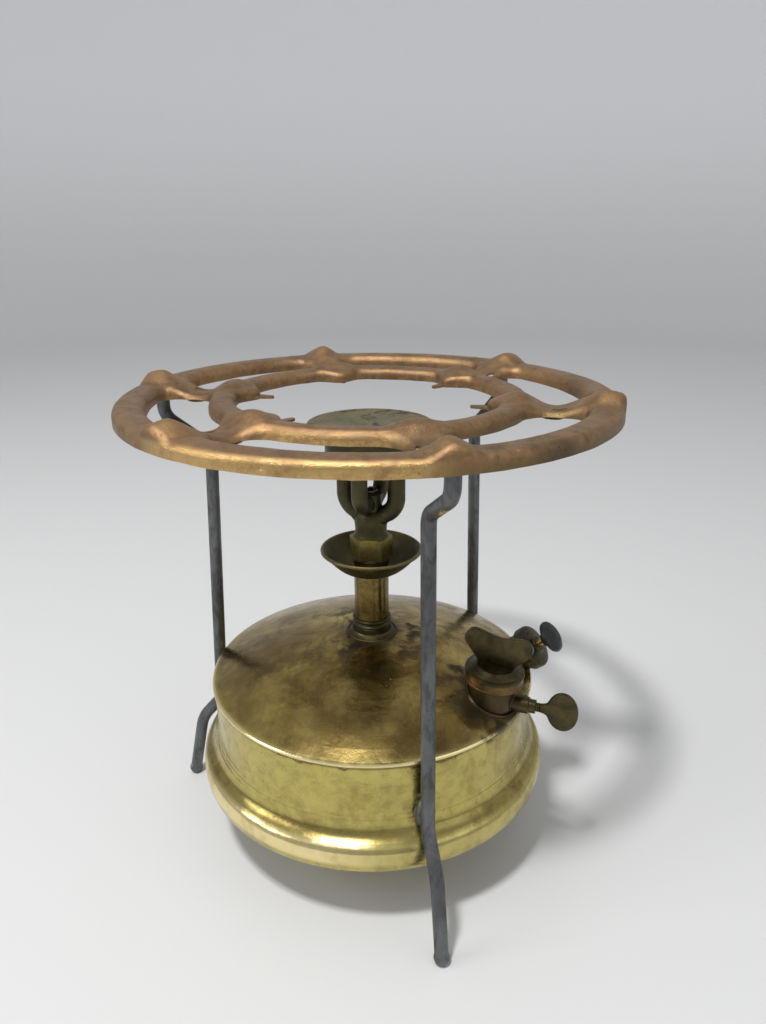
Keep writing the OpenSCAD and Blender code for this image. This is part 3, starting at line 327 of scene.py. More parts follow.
def tank_brass():
    """Half polished olive brass: stained wall, browner dome with soot round the riser. Painted light and
    shade too: a painted shadow round the filler's foot, painted highlights on the shoulder bead and round
    the base, and painted shade under the bead and in the hollow above the base.
    """
    t, shader, at = begin("tank_brass")
    radius, azimuth, height = t.polar(at)
    on_dome = t.ranged(height, 81.6, 83.2)
    on_riser = t.mul(t.ranged(height, 103.0, 104.5), t.ranged(radius, 9.5, 9.9, 1.0, 0.0))
    broad = t.cloud(at, 17.0, 0.5, 0.16)
    patch = t.cloud(at, 55.0, 0.42, 0.09)
    mottle = t.cloud(at, 190.0, 0.45, 0.1)
    runs = t.use("Streaks", Position=t.stretched(at, (85, 85, 11)), Cover=0.4).outputs["Mask"]
    specks = t.specks(at, 420.0, 0.4)
    fine = t.specks(at, 1250.0, 0.42)
    wall = t.mix(broad, (0.56, 0.465, 0.145), (0.47, 0.41, 0.13))
    wall = t.mix(t.mul(patch, 0.55), wall, (0.36, 0.28, 0.085))
    wall = t.mix(t.mul(runs, 0.4), wall, (0.25, 0.165, 0.055))
    dome = t.mix(broad, (0.6, 0.45, 0.145), (0.2, 0.138, 0.05))
    dome = t.mix(t.mul(patch, 0.72), dome, (0.145, 0.1, 0.042))
    vein = t.noise(at, 34.0, 4.0, 0.5, 1.6)
    veins = t.ranged(t.math("ABSOLUTE", t.less(vein, 0.5)), 0.0, 0.045, 1.0, 0.0)
    dome = t.mix(t.mul(veins, t.ranged(radius, 14.0, 62.0, 0.5, 0.08)), dome, (0.085, 0.06, 0.028))
    colour = t.mix(on_dome, wall, dome)
    colour = t.mix(on_riser, colour, t.mix(mottle, (0.19, 0.14, 0.044), (0.115, 0.08, 0.027)))
    colour = t.mix(t.mul(mottle, 0.25), colour, (0.15, 0.105, 0.04))
    # Painted highlights: a bright line along the shoulder bead, and a bright band round the base that is
    # strongest at the front left, where the key lamp falls
    ridge = t.mul(t.band(height, 80.7, 82.1, 0.3), t.ranged(radius, 74.6, 75.4))
    left = t.mul(t.band(azimuth, -165.0, -98.0, 14.0), t.ranged(patch, 0.0, 1.0, 1.0, 0.6))
    base = t.mul(t.band(height, 37.0, 46.0, 1.4), t.add(t.mul(left, 0.85), 0.15))
    painted_highlight = t.most(ridge, base)
    colour = t.mix(painted_highlight, colour, (0.86, 0.72, 0.37))
    # Painted shade in the hollow band above the base, broken up by the patches
    painted_hollow_shade = t.mul(t.band(height, 45.6, 50.6, 1.6), t.ranged(patch, 0.0, 1.0, 0.6, 1.0))
    colour = t.mix(t.mul(painted_hollow_shade, 0.7), colour, (0.15, 0.10, 0.04))
    # Painted shade under the shoulder bead
    under = t.band(t.add(height, t.ranged(patch, 0.0, 1.0, -0.3, 1.0)), 78.9, 80.3, 0.8)
    colour = t.mix(t.mul(under, 0.85), colour, (0.085, 0.058, 0.024))
    rough_edge = t.add(radius, t.ranged(patch, 0.0, 1.0, 5.0, -7.0))
    off_riser = t.less(on_dome, on_riser)
    soot = t.mul(t.ranged(rough_edge, 11.0, 27.0, 0.95, 0.0), off_riser)
    x, y, _ = t.axes(at)
    far = t.away(x, y, (50.0, -40.0))
    # Painted shadow on the dome round the filler's foot; the soot mask below carries it together with the
    # soot round the riser
    painted_filler_shadow = t.ranged(t.add(far, t.ranged(patch, 0.0, 1.0, 4.0, -6.0)), 12.0, 27.0, 0.9, 0.0)
    soot = t.most(soot, t.mul(painted_filler_shadow, t.ranged(height, 74.0, 82.0)))
    colour = t.mix(soot, colour, (0.045, 0.032, 0.016))
    dots = t.most(specks, t.mul(fine, 0.7))
    colour = t.mix(t.mul(dots, 0.62), colour, (0.085, 0.05, 0.02))
    t.put(shader.inputs["Base Color"], colour)
    dull = t.most(t.mul(patch, 0.35), t.most(soot, dots))
    rough = t.add(t.ranged(dull, 0.0, 1.0, 0.21, 0.6), t.mul(mottle, 0.05))
    t.put(shader.inputs["Roughness"], t.less(rough, t.mul(painted_highlight, 0.06)))
    t.put(shader.inputs["Metallic"], t.ranged(dull, 0.3, 1.0, 1.0, 0.75))
    outside = t.ranged(radius, 73.0, 74.0)
    step = t.mul(t.mul(t.band(height, 46.2, 52.0, 2.8), outside), -2.0)
    set_relief(t, shader, at, (1.0, 0.04, 0.3, 520.0), 0.001, 0.8, step)


def ring_metal():
    """Copper-brown patina with gold where pans and hands have worn it; the gold on the front, lit side is
    also a painted highlight.
    """
    t, shader, at = begin("ring_metal")
    radius, azimuth, height = t.polar(at)
    broad = t.cloud(at, 20.0, 0.5, 0.2)
    patch = t.cloud(at, 70.0, 0.45, 0.12)
    rub = t.cloud(at, 260.0, 0.5, 0.1)
    specks = t.specks(at, 850.0, 0.45)
    colour = t.mix(broad, (0.335, 0.19, 0.088), (0.2, 0.122, 0.066))
    colour = t.mix(t.mul(patch, 0.68), colour, (0.13, 0.075, 0.038))
    colour = t.mix(t.mul(rub, 0.3), colour, (0.43, 0.28, 0.13))
    olive = t.band(azimuth, -85.0, -5.0, 14.0)
    low = t.ranged(height, 210.5, 215.5, 1.0, 0.0)
    colour = t.mix(t.mul(t.mul(olive, low), 0.8), colour, (0.17, 0.125, 0.058))
    # Brighter gold on the front, lit side: a painted highlight on rubbed metal, along the top of the outer
    # wall and on the front of the inner band
    lit_front = t.band(azimuth, -140.0, -82.0, 4.0)
    outside = t.ranged(radius, 101.5, 104.5)
    wall = t.mul(t.ranged(height, 214.2, 216.4, 1.0, 0.0), outside)
    gold = t.mul(t.mul(lit_front, wall), t.ranged(t.add(patch, t.mul(rub, 0.5)), 0.0, 1.5, 1.0, 0.25))
    inner = t.mul(t.band(azimuth, -132.0, -78.0, 5.0), t.band(radius, 58.0, 69.5, 1.5))
    inner = t.mul(inner, t.ranged(height, 212.6, 214.8, 1.0, 0.0))
    inner = t.mul(inner, t.ranged(rub, 0.0, 1.0, 1.0, 0.3))
    # This worn mask holds that painted highlight as well as the wear
    worn = t.most(gold, inner)
    tops = t.mul(t.ranged(height, 217.4, 220.8), t.ranged(rub, 0.0, 1.0, 0.75, 0.25))
    colour = t.mix(t.mul(tops, 0.55), colour, (0.50, 0.30, 0.13))
    colour = t.mix(worn, colour, (0.62, 0.41, 0.165))
    smudge = t.mul(t.band(azimuth, -62.0, -52.0, 4.0), t.mul(outside, t.ranged(patch, 0.0, 1.0, 0.9, 0.5)))
    back = t.mul(t.band(azimuth, 0.0, 12.0, 4.0), t.band(radius, 84.0, 98.0, 4.0))
    dark = t.most(smudge, t.mul(back, 0.5))
    colour = t.mix(t.mul(dark, 0.8), colour, (0.07, 0.055, 0.035))
    colour = t.mix(t.mul(specks, 0.75), colour, (0.06, 0.035, 0.018))
    t.put(shader.inputs["Base Color"], colour)
    dull = t.most(t.mul(patch, 0.4), specks)
    rough = t.ranged(dull, 0.0, 1.0, 0.42, 0.64)
    t.put(shader.inputs["Roughness"], t.less(rough, t.mul(worn, 0.24)))
    t.put(shader.inputs["Metallic"], t.ranged(worn, 0.0, 1.0, 0.88, 1.0))
    set_relief(t, shader, at, (1.0, 0.28, 0.45, 700.0), 0.0009, 0.9)


def leg_steel():
    """Dull blue-grey steel, mottled, with paler rubbed places, a yellow fleck and a blacker pump knob."""
    t, shader, at = begin("leg_steel")
    x, _, z = t.axes(at)
    long = t.stretched(at, (1, 1, 0.35))
    broad = t.cloud(long, 60.0, 0.5, 0.15)
    patch = t.cloud(long, 230.0, 0.45, 0.1)
    pale = t.cloud(long, 110.0, 0.24, 0.07)
    rust = t.specks(at, 900.0, 0.4)
    colour = t.mix(broad, (0.155, 0.165, 0.17), (0.095, 0.098, 0.098))
    colour = t.mix(t.mul(patch, 0.55), colour, (0.045, 0.045, 0.043))
    low = t.ranged(z, 45.0, 100.0, 1.0, 0.25)
    colour = t.mix(t.mul(pale, low), colour, (0.42, 0.41, 0.38))
    colour = t.mix(t.mul(rust, 0.5), colour, (0.09, 0.05, 0.025))
    fleck = t.mul(t.band(x, 18.0, 20.4, 0.5), t.band(z, 191.0, 194.6, 0.5))
    fleck = t.mul(fleck, t.ranged(patch, 0.2, 0.6, 1.0, 0.0))
    colour = t.mix(t.mul(fleck, 0.9), colour, (0.75, 0.62, 0.24))
    knob = t.mul(t.band(x, 74.0, 130.0, 0.5), t.band(z, 95.0, 125.0, 1.0))
    colour = t.mix(t.mul(knob, 0.8), colour, (0.02, 0.02, 0.019))
    t.put(shader.inputs["Base Color"], colour)
    t.put(shader.inputs["Roughness"], t.ranged(patch, 0.0, 1.0, 0.4, 0.58))
    t.put(shader.inputs["Metallic"], t.ranged(pale, 0.0, 1.0, 0.8, 0.5))
    set_relief(t, shader, at, (1.1, 0.22, 0.4, 700.0), 0.0007, 0.8)


def burner_patina():
    """Olive, sooted brass: greyer on the flame plate, yellower on the hexagon."""
    t, shader, at = begin("burner_patina")
    radius, _, height = t.polar(at)
    broad = t.cloud(at, 70.0, 0.5, 0.14)
    patch = t.cloud(at, 210.0, 0.45, 0.1)
    specks = t.specks(at, 1000.0, 0.5)
    colour = t.mix(broad, (0.085, 0.075, 0.032), (0.05, 0.045, 0.022))
    hexagon = t.mul(t.band(height, 139.8, 149.8, 0.3), t.ranged(radius, 10.5, 11.0, 1.0, 0.0))
    colour = t.mix(t.mul(hexagon, t.ranged(patch, 0.0, 1.0, 0.9, 0.4)), colour, (0.3, 0.235, 0.062))
    plate = t.ranged(height, 200.5, 201.2)
    grey = t.mix(broad, (0.27, 0.235, 0.13), (0.17, 0.165, 0.1))
    crescent = t.noise(at, 46.0, 3.0, 0.55, 1.2)
    marks = t.band(crescent, 0.55, 0.61, 0.012)
    grey = t.mix(t.mul(marks, t.ranged(patch, 0.0, 1.0, 0.9, 0.4)), grey, (0.055, 0.05, 0.03))
    colour = t.mix(plate, colour, grey)
    rim = t.mul(t.band(height, 142.0, 146.0, 0.5), t.ranged(radius, 21.3, 22.3))
    colour = t.mix(t.mul(rim, 0.5), colour, (0.25, 0.2, 0.08))
    colour = t.mix(t.mul(patch, 0.4), colour, (0.05, 0.045, 0.024))
    colour = t.mix(t.mul(specks, 0.7), colour, (0.02, 0.017, 0.01))
    set_surface(t, shader, colour, t.most(t.mul(patch, 0.7), specks), (0.4, 0.66), (0.9, 0.6))
    set_relief(t, shader, at, (0.4, 0.22, 0.5, 1000.0), 0.0005)


def dark_brass():
    """Dark bronze fittings, with a rubbed copper band round the filler cap's skirt and a painted brown
    reflection on the foot of the filler's neck.
    """
    t, shader, at = begin("dark_brass")
    broad = t.cloud(at, 120.0, 0.5, 0.14)
    patch = t.cloud(at, 330.0, 0.45, 0.1)
    specks = t.specks(at, 1300.0, 0.45)
    x, y, z = t.axes(at)
    lean = t.add(t.mul(x, FILLER_UP[0]), t.add(t.mul(y, FILLER_UP[1]), t.mul(z, FILLER_UP[2])))
    along = t.less(lean, sum(a * b for a, b in zip(FILLER_AT, FILLER_UP)))
    out = t.away(x, y, (FILLER_AT[0] + 0.8, FILLER_AT[1] - 0.6))
    skirt = t.mul(t.band(along, 9.9, 13.6, 0.3), t.band(out, 11.0, 14.6, 0.3))
    colour = t.mix(broad, (0.1, 0.08, 0.033), (0.046, 0.04, 0.02))
    # Painted brown reflection of the dome on the foot of the filler's neck
    foot = t.mul(t.ranged(along, 6.0, 9.0, 1.0, 0.0), t.ranged(out, 10.9, 14.0, 1.0, 0.0))
    colour = t.mix(t.mul(foot, 0.7), colour, (0.085, 0.052, 0.026))
    colour = t.mix(t.mul(skirt, t.ranged(broad, 0.0, 1.0, 0.85, 0.4)), colour, (0.22, 0.125, 0.045))
    colour = t.mix(t.mul(patch, 0.4), colour, (0.045, 0.038, 0.022))
    colour = t.mix(t.mul(specks, 0.7), colour, (0.02, 0.014, 0.008))
    set_surface(t, shader, colour, t.most(t.mul(patch, 0.6), specks), (0.34, 0.58), (0.95, 0.7))
    set_relief(t, shader, at, (0.35, 0.16, 0.45, 1300.0), 0.0005)


WORN_FINISHES = {
    "bright_brass": {
        "colours": ((0.66, 0.49, 0.2), (0.5, 0.35, 0.13), (0.2, 0.13, 0.05)),
        "roughness": (0.22, 0.36),
        "cloud": (150.0, 0.35, 0.15),
        "specks": (1800.0, 0.25),
        "relief": (0.2, 0.1, 0.2, 1500.0),
        "depth": 0.0002,
        "sooted": (150.0, 200.0),
    },
    "spring_steel": {
        "colours": ((0.42, 0.42, 0.44), (0.28, 0.28, 0.3), (0.1, 0.07, 0.05)),
        "roughness": (0.25, 0.4),
        "cloud": (300.0, 0.4, 0.15),
        "depth": 0.0001,
    },
    "solder": {
        "colours": ((0.22, 0.22, 0.21), (0.12, 0.12, 0.11), (0.05, 0.04, 0.03)),
        "roughness": (0.42, 0.6),
        "cloud": (160.0, 0.5, 0.15),
        "relief": (0.8, 0.3, 0.4, 800.0),
        "depth": 0.0006,
    },
    "leather": {
        "colours": ((0.13, 0.062, 0.03), (0.07, 0.035, 0.018), (0.02, 0.012, 0.008)),
        "roughness": (0.55, 0.75),
        "metallic": (0.0, 0.0),
        "cloud": (260.0, 0.5, 0.2),
        "relief": (0.3, 0.5, 0.5, 1600.0),
    },
    "rubber": {
        "colours": ((0.022, 0.021, 0.02), (0.035, 0.032, 0.03), (0.01, 0.01, 0.01)),
        "roughness": (0.6, 0.8),
        "metallic": (0.0, 0.0),
        "cloud": (300.0, 0.4, 0.2),
        "depth": 0.0001,
    },
}


# Meshes
def angles(count):
    return [math.tau * k / count for k in range(count)]


def skin(bm, rings, closed=True, shift=0):
    """Faces from each ring of points to the next; a closed ring joins its end to its start."""
    count = len(rings[0])
    for low, high in zip(rings, rings[1:]):
        for i in range(count if closed else count - 1):
            j = (i + 1) % count
            bm.faces.new((low[i], low[j], high[(j + shift) % count], high[(i + shift) % count]))


def close_ends(bm, rings):
    bm.faces.new(rings[0][::-1])
    bm.faces.new(rings[-1])


def tube_mesh(bm, points, radius_at, around=12, closed=False):
    """Sweeps a round section along points; its radius may change along and round the tube."""
    count = len(points)
    rings = []
    normal = None
    for i, p in enumerate(points):
        before = points[i - 1] if closed or i else p
        after = points[(i + 1) % count] if closed or i < count - 1 else p
        ahead = (after - before).normalized()
        if normal is None:
            normal = ahead.orthogonal()
        normal = (normal - ahead * normal.dot(ahead)).normalized()
        side = ahead.cross(normal)
        outward = [(normal * math.cos(a) + side * math.sin(a), a) for a in angles(around)]
        rings.append([bm.verts.new(p + out * radius_at(i, a)) for out, a in outward])
    skin(bm, rings)
    if closed:
        gaps = [(v.co - rings[-1][0].co).length for v in rings[0]]
        skin(bm, [rings[-1], rings[0]], shift=gaps.index(min(gaps)))
    else:
        close_ends(bm, rings)


def turned_mesh(bm, profile, radius_at, around, place, closed):
    """Turns (radius, height) points in millimetres round an axis, as a closed section or a capped rod."""
    rings = []
    for r, z in profile:
        reaches = [(radius_at(r, z, a), a) for a in angles(around)]
        points = [Vector((reach * math.cos(a), reach * math.sin(a), z)) * MM for reach, a in reaches]
        rings.append([bm.verts.new(place @ p) for p in points])
    skin(bm, rings + rings[:1] if closed else rings)
    if not closed:
        close_ends(bm, rings)


# Pressed pan ring
class Ring:
    """Sizes of the pan ring in millimetres and degrees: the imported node's, with softer rolls and humps."""

    edge, sheet, top, depth, roll, crown = 105.7, 1.1, 215.8, 5.4, 3.3, 0.9
    window_out, window_in, corner, spoke_half = 92.6, 68.0, 8.0, 8.6
    opening, bay, bay_half, band_drop, least_wall = 57.0, 6.5, 11, 0.8, 0.2
    hump_h, hump_at, hump_w, hump_l, hump_fall = 4.6, 97.4, 10.6, 11.0, 0.3
    # The fold that crosses a hump: how far its crest stands aside, its two flanks and its fade
    fold_aside, fold_left, fold_right, fold_fade = 1.8, 8.6, 10.0, 6
    boss_h, boss_at, boss_w, boss_l = 2.6, 62.0, 13.0, 11.0
    dip_h, dip_at, dip_l = 3.2, 78.3, 12.0
    # Half of one of the six sectors, and the places of the spokes
    half = 30
    spoke_turns = [LEG_TURNS[0] + 60 * sector for sector in range(6)]
    # Pear-shaped holes: radius of their middles, heights of their cutter, and how far each stands aside
    hole_at, hole_low, hole_high = 79.8, 205, 222
    hole_sides = (-4.8, -3.8, -4.8, -3.4, -3.4, -4.2)
    # Finger tabs: root, heights, the longest one's length, and each one's share of the spread in length
    tab_at, tab_low, tab_high, tab_length = 53.0, 210.9, 212.0, 10.8
    tab_shares = (0.0, 0.7, 1.0, 0.0, 0.6, 0.9)
    # Lengths with fine steps at the ends of the rim, the mouth and a spoke's middle line
    rim_corner, mouth_corner, line_corner = 9, 12, 14.6
    corner_steps, roll_steps, flat_steps = 10, 7, 9
    side_steps, out_steps, in_steps = 28, 42, 36
    # Wandering of the sheet: its wavelengths, the finer one's share, and how far it all sits low
    wave, ripple, ripple_share, sink = 9, 3.5, 0.55, 0.1
    weld = 0.02


def bump(t):
    """A smooth rise to 1 at the middle, with soft feet at -1 and 1."""
    return (1 - t * t) ** 2 if abs(t) < 1 else 0.0


def crown(t):
    """A round rise to 1 at the middle, with sharp feet at -1 and 1."""
    return 1 - t * t if abs(t) < 1 else 0.0


def gable(t):
    """A ridge with straight flanks, a rounded top and creased feet."""
    rounded_half, curve = 0.3, 1.96
    t = abs(t)
    if t >= 1:
        return 0.0
    if t < rounded_half:
        return 1 - curve * t * t
    return 2 * curve * rounded_half * (1 - t)


def ring_height(r, side):
    """Height of the ring's top at a radius and a signed distance from a spoke's middle."""
    inset = Ring.edge - Ring.hump_at
    from_crest = side + Ring.fold_aside
    fold = gable(from_crest / (Ring.fold_left if from_crest < 0 else Ring.fold_right))
    smooth = bump(side / Ring.hump_w)
    if r < Ring.hump_at:
        run = bump((r - Ring.hump_at) / Ring.hump_l)
        across = smooth + (fold - smooth) * bump((Ring.hump_at - r) / Ring.fold_fade)
    else:
        run = 1 - Ring.hump_fall * ((r - Ring.hump_at) / inset) ** 2
        across = fold
    outer = Ring.edge - Ring.window_out
    inner = Ring.window_in - Ring.opening
    drop = 1 - bump(max(0, Ring.dip_at - r) / (Ring.dip_at - Ring.opening))
    return (
        Ring.top
        + Ring.crown * crown((r - Ring.edge + outer / 2) / outer * 2)
        + Ring.crown * crown((r - Ring.opening - inner / 2) / inner * 2)
        + Ring.hump_h * run * across
        + Ring.boss_h * bump((r - Ring.boss_at) / Ring.boss_l) * bump(side / Ring.boss_w)
        - Ring.dip_h * bump((r - Ring.dip_at) / Ring.dip_l)
        - Ring.band_drop * drop
    )


def opening_edge(angle):
    return Ring.opening - Ring.bay * bump((Ring.half - abs(angle)) / Ring.bay_half)


def spaced(i, n, length, corner):
    """Even steps along a side of a window, with short ones round its corners."""
    steps = Ring.corner_steps
    if i <= steps:
        return corner * i / steps
    if i >= n - steps:
        return length - corner * (n - i) / steps
    return corner + (length - 2 * corner) * (i - steps) / (n - 2 * steps)


def rounded(s):
    """How a window's corner turns: along the side, in from it, and the lean of its edge."""
    if s >= Ring.corner:
        return s, 0.0, 0.0
    lean = math.radians(45 * (1 - s / Ring.corner))
    return Ring.corner * (1 - math.sin(lean)), Ring.corner * (1 - math.cos(lean)), lean


def window_arc(i, n, r0, inward, back):
    """One point of a window's outer or inner side, with its share of the rounded corners."""
    half = math.radians(Ring.half - math.degrees(math.asin(Ring.spoke_half / r0))) * r0
    s = spaced(i, n, 2 * half, Ring.corner)
    along, into, lean = rounded(min(s, 2 * half - s))
    turn = math.degrees((half - along + back * math.sin(lean)) / r0)
    return r0 + inward * (into - back * math.cos(lean)), turn if s >= half else -turn


def window_side(i, n, back):
    """One point of a window's side along a spoke, with its share of the rounded corners."""
    length = Ring.window_out - Ring.window_in
    s = spaced(i, n, length, Ring.corner)
    along, into, lean = rounded(min(s, length - s))
    along -= back * math.sin(lean)
    r = Ring.window_out - along if s < length / 2 else Ring.window_in + along
    side = Ring.spoke_half + into - back * math.cos(lean)
    return r, Ring.half - math.degrees(math.asin(side / r))


def window_loop(back):
    """The edge of one window as (radius, angle) points, set back into the sheet."""
    out = [window_arc(i, Ring.out_steps, Ring.window_out, -1, back) for i in range(Ring.out_steps)]
    right = [window_side(i, Ring.side_steps, back) for i in range(Ring.side_steps)]
    inner = [window_arc(i, Ring.in_steps, Ring.window_in, 1, back) for i in range(Ring.in_steps)]
    left = [window_side(Ring.side_steps - i, Ring.side_steps, back) for i in range(Ring.side_steps)]
    return out + right + [(r, -a) for r, a in inner] + [(r, -a) for r, a in left]


def far_loop():
    """Where the sheet round a window ends: on the ring's edges and on the spokes' middles."""
    rim = Ring.edge - Ring.roll
    length = rim - opening_edge(Ring.half) - Ring.roll
    line = [rim - spaced(i, Ring.side_steps, length, Ring.line_corner) for i in range(Ring.side_steps + 1)]
    sector = 2 * Ring.half
    out = [spaced(i, Ring.out_steps, sector, Ring.rim_corner) - Ring.half for i in range(Ring.out_steps)]
    back = [Ring.half - spaced(i, Ring.in_steps, sector, Ring.mouth_corner) for i in range(Ring.in_steps)]
    return (
        [(rim, a) for a in out]
        + [(r, Ring.half) for r in line[:-1]]
        + [(opening_edge(a) + Ring.roll, a) for a in back]
        + [(r, -Ring.half) for r in reversed(line[1:])]
    )


def sheet_height(r, angle):
    side = r * math.sin(math.radians(Ring.half - abs(angle)))
    return ring_height(r, -side if angle > 0 else side)


def ring_rows(flat_points, edge_points_at):
    """Rows of one rolled edge: from its bottom, up the turned-down part and over the roll."""
    low = Ring.top - Ring.depth
    rows = [[(r, a, low) for r, a in edge_points_at(0.0)]]
    for k in range(Ring.roll_steps + 1):
        phi = math.pi / 2 * k / Ring.roll_steps
        edge = edge_points_at(Ring.roll * (1 - math.cos(phi)))
        rows.append(
            [
                (r, a, max(low + Ring.least_wall, sheet_height(*flat) - Ring.roll * (1 - math.sin(phi))))
                for (r, a), flat in zip(edge, flat_points(edge))
            ]
        )
    return rows


def ring_sheet(wander):
    """The top face of the pressed sheet, as a mesh that is open along its turned-down edges."""
    bm = bmesh.new()

    def place(r, z, turn):
        at = Vector((r * math.cos(turn), r * math.sin(turn), z))
        uneven = wander * (noise.noise(at / Ring.wave) + Ring.ripple_share * noise.noise(at / Ring.ripple))
        return bm.verts.new((at + Vector((0, 0, uneven - Ring.sink))) * MM)

    def add_rows(rows, spoke_turn, closed):
        middle = spoke_turn + Ring.half
        made = [[place(r, z, math.radians(a + middle)) for r, a, z in row] for row in rows]
        skin(bm, made, closed)

    far = far_loop()
    window = ring_rows(lambda edge: edge, window_loop)
    start = window_loop(Ring.roll)
    for k in range(1, Ring.flat_steps + 1):
        t = k / Ring.flat_steps
        row = [(r + (fr - r) * t, a + (fa - a) * t) for (r, a), (fr, fa) in zip(start, far)]
        window.append([(r, a, sheet_height(r, a)) for r, a in row])
    rim_angles = [a for r, a in far[: Ring.out_steps]] + [Ring.half]
    rim = ring_rows(
        lambda edge: [(Ring.edge - Ring.roll, a) for r, a in edge],
        lambda back: [(Ring.edge - back, a) for a in rim_angles],
    )
    first = Ring.out_steps + Ring.side_steps
    mouth_angles = [a for r, a in far[first : first + Ring.in_steps]] + [-Ring.half]
    mouth = ring_rows(
        lambda edge: [(opening_edge(a) + Ring.roll, a) for r, a in edge],
        lambda back: [(opening_edge(a) + back, a) for a in mouth_angles],
    )
    for spoke_turn in Ring.spoke_turns:
        add_rows(window, spoke_turn, True)
        add_rows(rim, spoke_turn, False)
        add_rows(mouth, spoke_turn, False)
    bmesh.ops.remove_doubles(bm, verts=bm.verts, dist=Ring.weld * MM)
    bmesh.ops.recalc_face_normals(bm, faces=bm.faces)
    if sum(f.normal.z for f in bm.faces) < 0:
        bmesh.ops.reverse_faces(bm, faces=bm.faces)
    return bm


# Placing pieces
def axis_frame(at, ahead):
    """A frame whose +Z runs along a direction."""
    turn = Vector(ahead).normalized().to_track_quat("Z", "Y").to_matrix().to_4x4()
    return Matrix.Translation(Vector(at) * MM) @ turn


def smooth_over(mesh, degrees):
    """Smooth shading, with creases where faces meet more sharply than an angle."""
    mesh.shade_smooth()
    mesh.set_sharp_from_angle(angle=math.radians(degrees))


def place_piece(name, bm, body, slot, node=None, smooth=35):
    """Turns a built mesh into a piece that rides on a body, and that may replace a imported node."""
    bmesh.ops.recalc_face_normals(bm, faces=bm.faces)
    mesh = bpy.data.meshes.new(name)
    bm.to_mesh(mesh)
    bm.free()
    mesh.materials.append(FINISH[slot])
    piece = bpy.data.objects.new(name, mesh)
    bpy.context.scene.collection.objects.link(piece)
    if smooth:
        smooth_over(mesh, smooth)
    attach(piece, body)
    if node:
        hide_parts(node)
    return piece


def freeze(piece):
    """Turns a piece's modifiers into its mesh."""
    shaped = piece.evaluated_get(bpy.context.evaluated_depsgraph_get())
    old = piece.data
    piece.data = bpy.data.meshes.new_from_object(shaped)
    piece.modifiers.clear()
    bpy.data.meshes.remove(old)


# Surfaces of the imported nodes
def surface_of(name):
    """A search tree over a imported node, for finding where its surface is."""
    bm = bmesh.new()
    bm.from_mesh(NODES[name].data)
    bm.transform(NODES[name].matrix_world)
    tree = BVHTree.FromBMesh(bm)
    bm.free()
    return tree


def seam_points(surface, at, ahead, radius, low, high, count=72):
    """Where a round tube along an axis comes out of a surface, seen from the tube's high end."""
    place = axis_frame(at, ahead)
    down = (place.to_3x3() @ Vector((0, 0, -1))).normalized()
    starts = [Vector((radius * math.cos(a), radius * math.sin(a), high)) * MM for a in angles(count)]
    hits = [surface.ray_cast(place @ start, down, (high - low) * MM)[0] for start in starts]
    return [hit for hit in hits if hit is not None]


def bead(bm, points, radius, seed):
    """A closed run of solder or braze: a round bead of uneven thickness."""
    wave, uneven, around = 4, 0.3, 10

    def reach(i, a):
        at = points[i] / (wave * MM) + Vector((0, 0, seed))
        return radius * MM * (1 + uneven * noise.noise(at))

    tube_mesh(bm, points, reach, around, True)


def circle(centre, radius, count):
    """Points of a level circle, its centre and radius in millimetres."""
    x, y, z = centre
    return [Vector((x + radius * math.cos(a), y + radius * math.sin(a), z)) * MM for a in angles(count)]


# Pieces
def cut_with(piece, other, operation):
    """Cuts or joins another piece into a piece, then removes the other."""
    change = piece.modifiers.new("change", "BOOLEAN")
    change.operation = operation
    change.solver = "EXACT"
    change.object = other
    freeze(piece)
    bpy.data.objects.remove(other)


def loose_mesh(name, bm):
    mesh = bpy.data.meshes.new(name)
    bmesh.ops.recalc_face_normals(bm, faces=bm.faces)
    bm.to_mesh(mesh)
    bm.free()
    made = bpy.data.objects.new(name, mesh)
    bpy.context.scene.collection.objects.link(made)
    return made


def prism(bm, outline, low, high):
    """A flat outline of (x, y) points in millimetres raised between two heights."""
    rings = [[bm.verts.new((x * MM, y * MM, z * MM)) for x, y in outline] for z in (low, high)]
    close_ends(bm, rings)
    skin(bm, rings)


def turned(outline, degrees):
    """An outline of (out, aside) points, turned round the stove's axis."""
    c, s = math.cos(math.radians(degrees)), math.sin(math.radians(degrees))
    return [(out * c - aside * s, out * s + aside * c) for out, aside in outline]


def tab_outline(length):
    """A finger tab, which narrows from the boss to a round tip."""
    root, tip, tip_r = Ring.tab_at, Ring.tab_at - length, 1.3
    side = [(root, -3.4), (root - 2.2, -2.3), (tip + 1.6, -1.35)]
    nose = [(tip + tip_r - tip_r * math.cos(a), tip_r * math.sin(a)) for a in (-1.1, -0.6, 0, 0.6, 1.1)]
    return side + nose + [(out, -aside) for out, aside in reversed(side)]


def pear_outline(middle):
    """A pear-shaped hole in a spoke, its narrow end towards the ring's middle."""
    half_long, half_wide, swell = 3.3, 1.8, 0.6
    wide = [(a, half_wide + swell * math.cos(a)) for a in angles(20)]
    return [(Ring.hole_at + half_long * math.cos(a), middle + w * math.sin(a)) for a, w in wide]


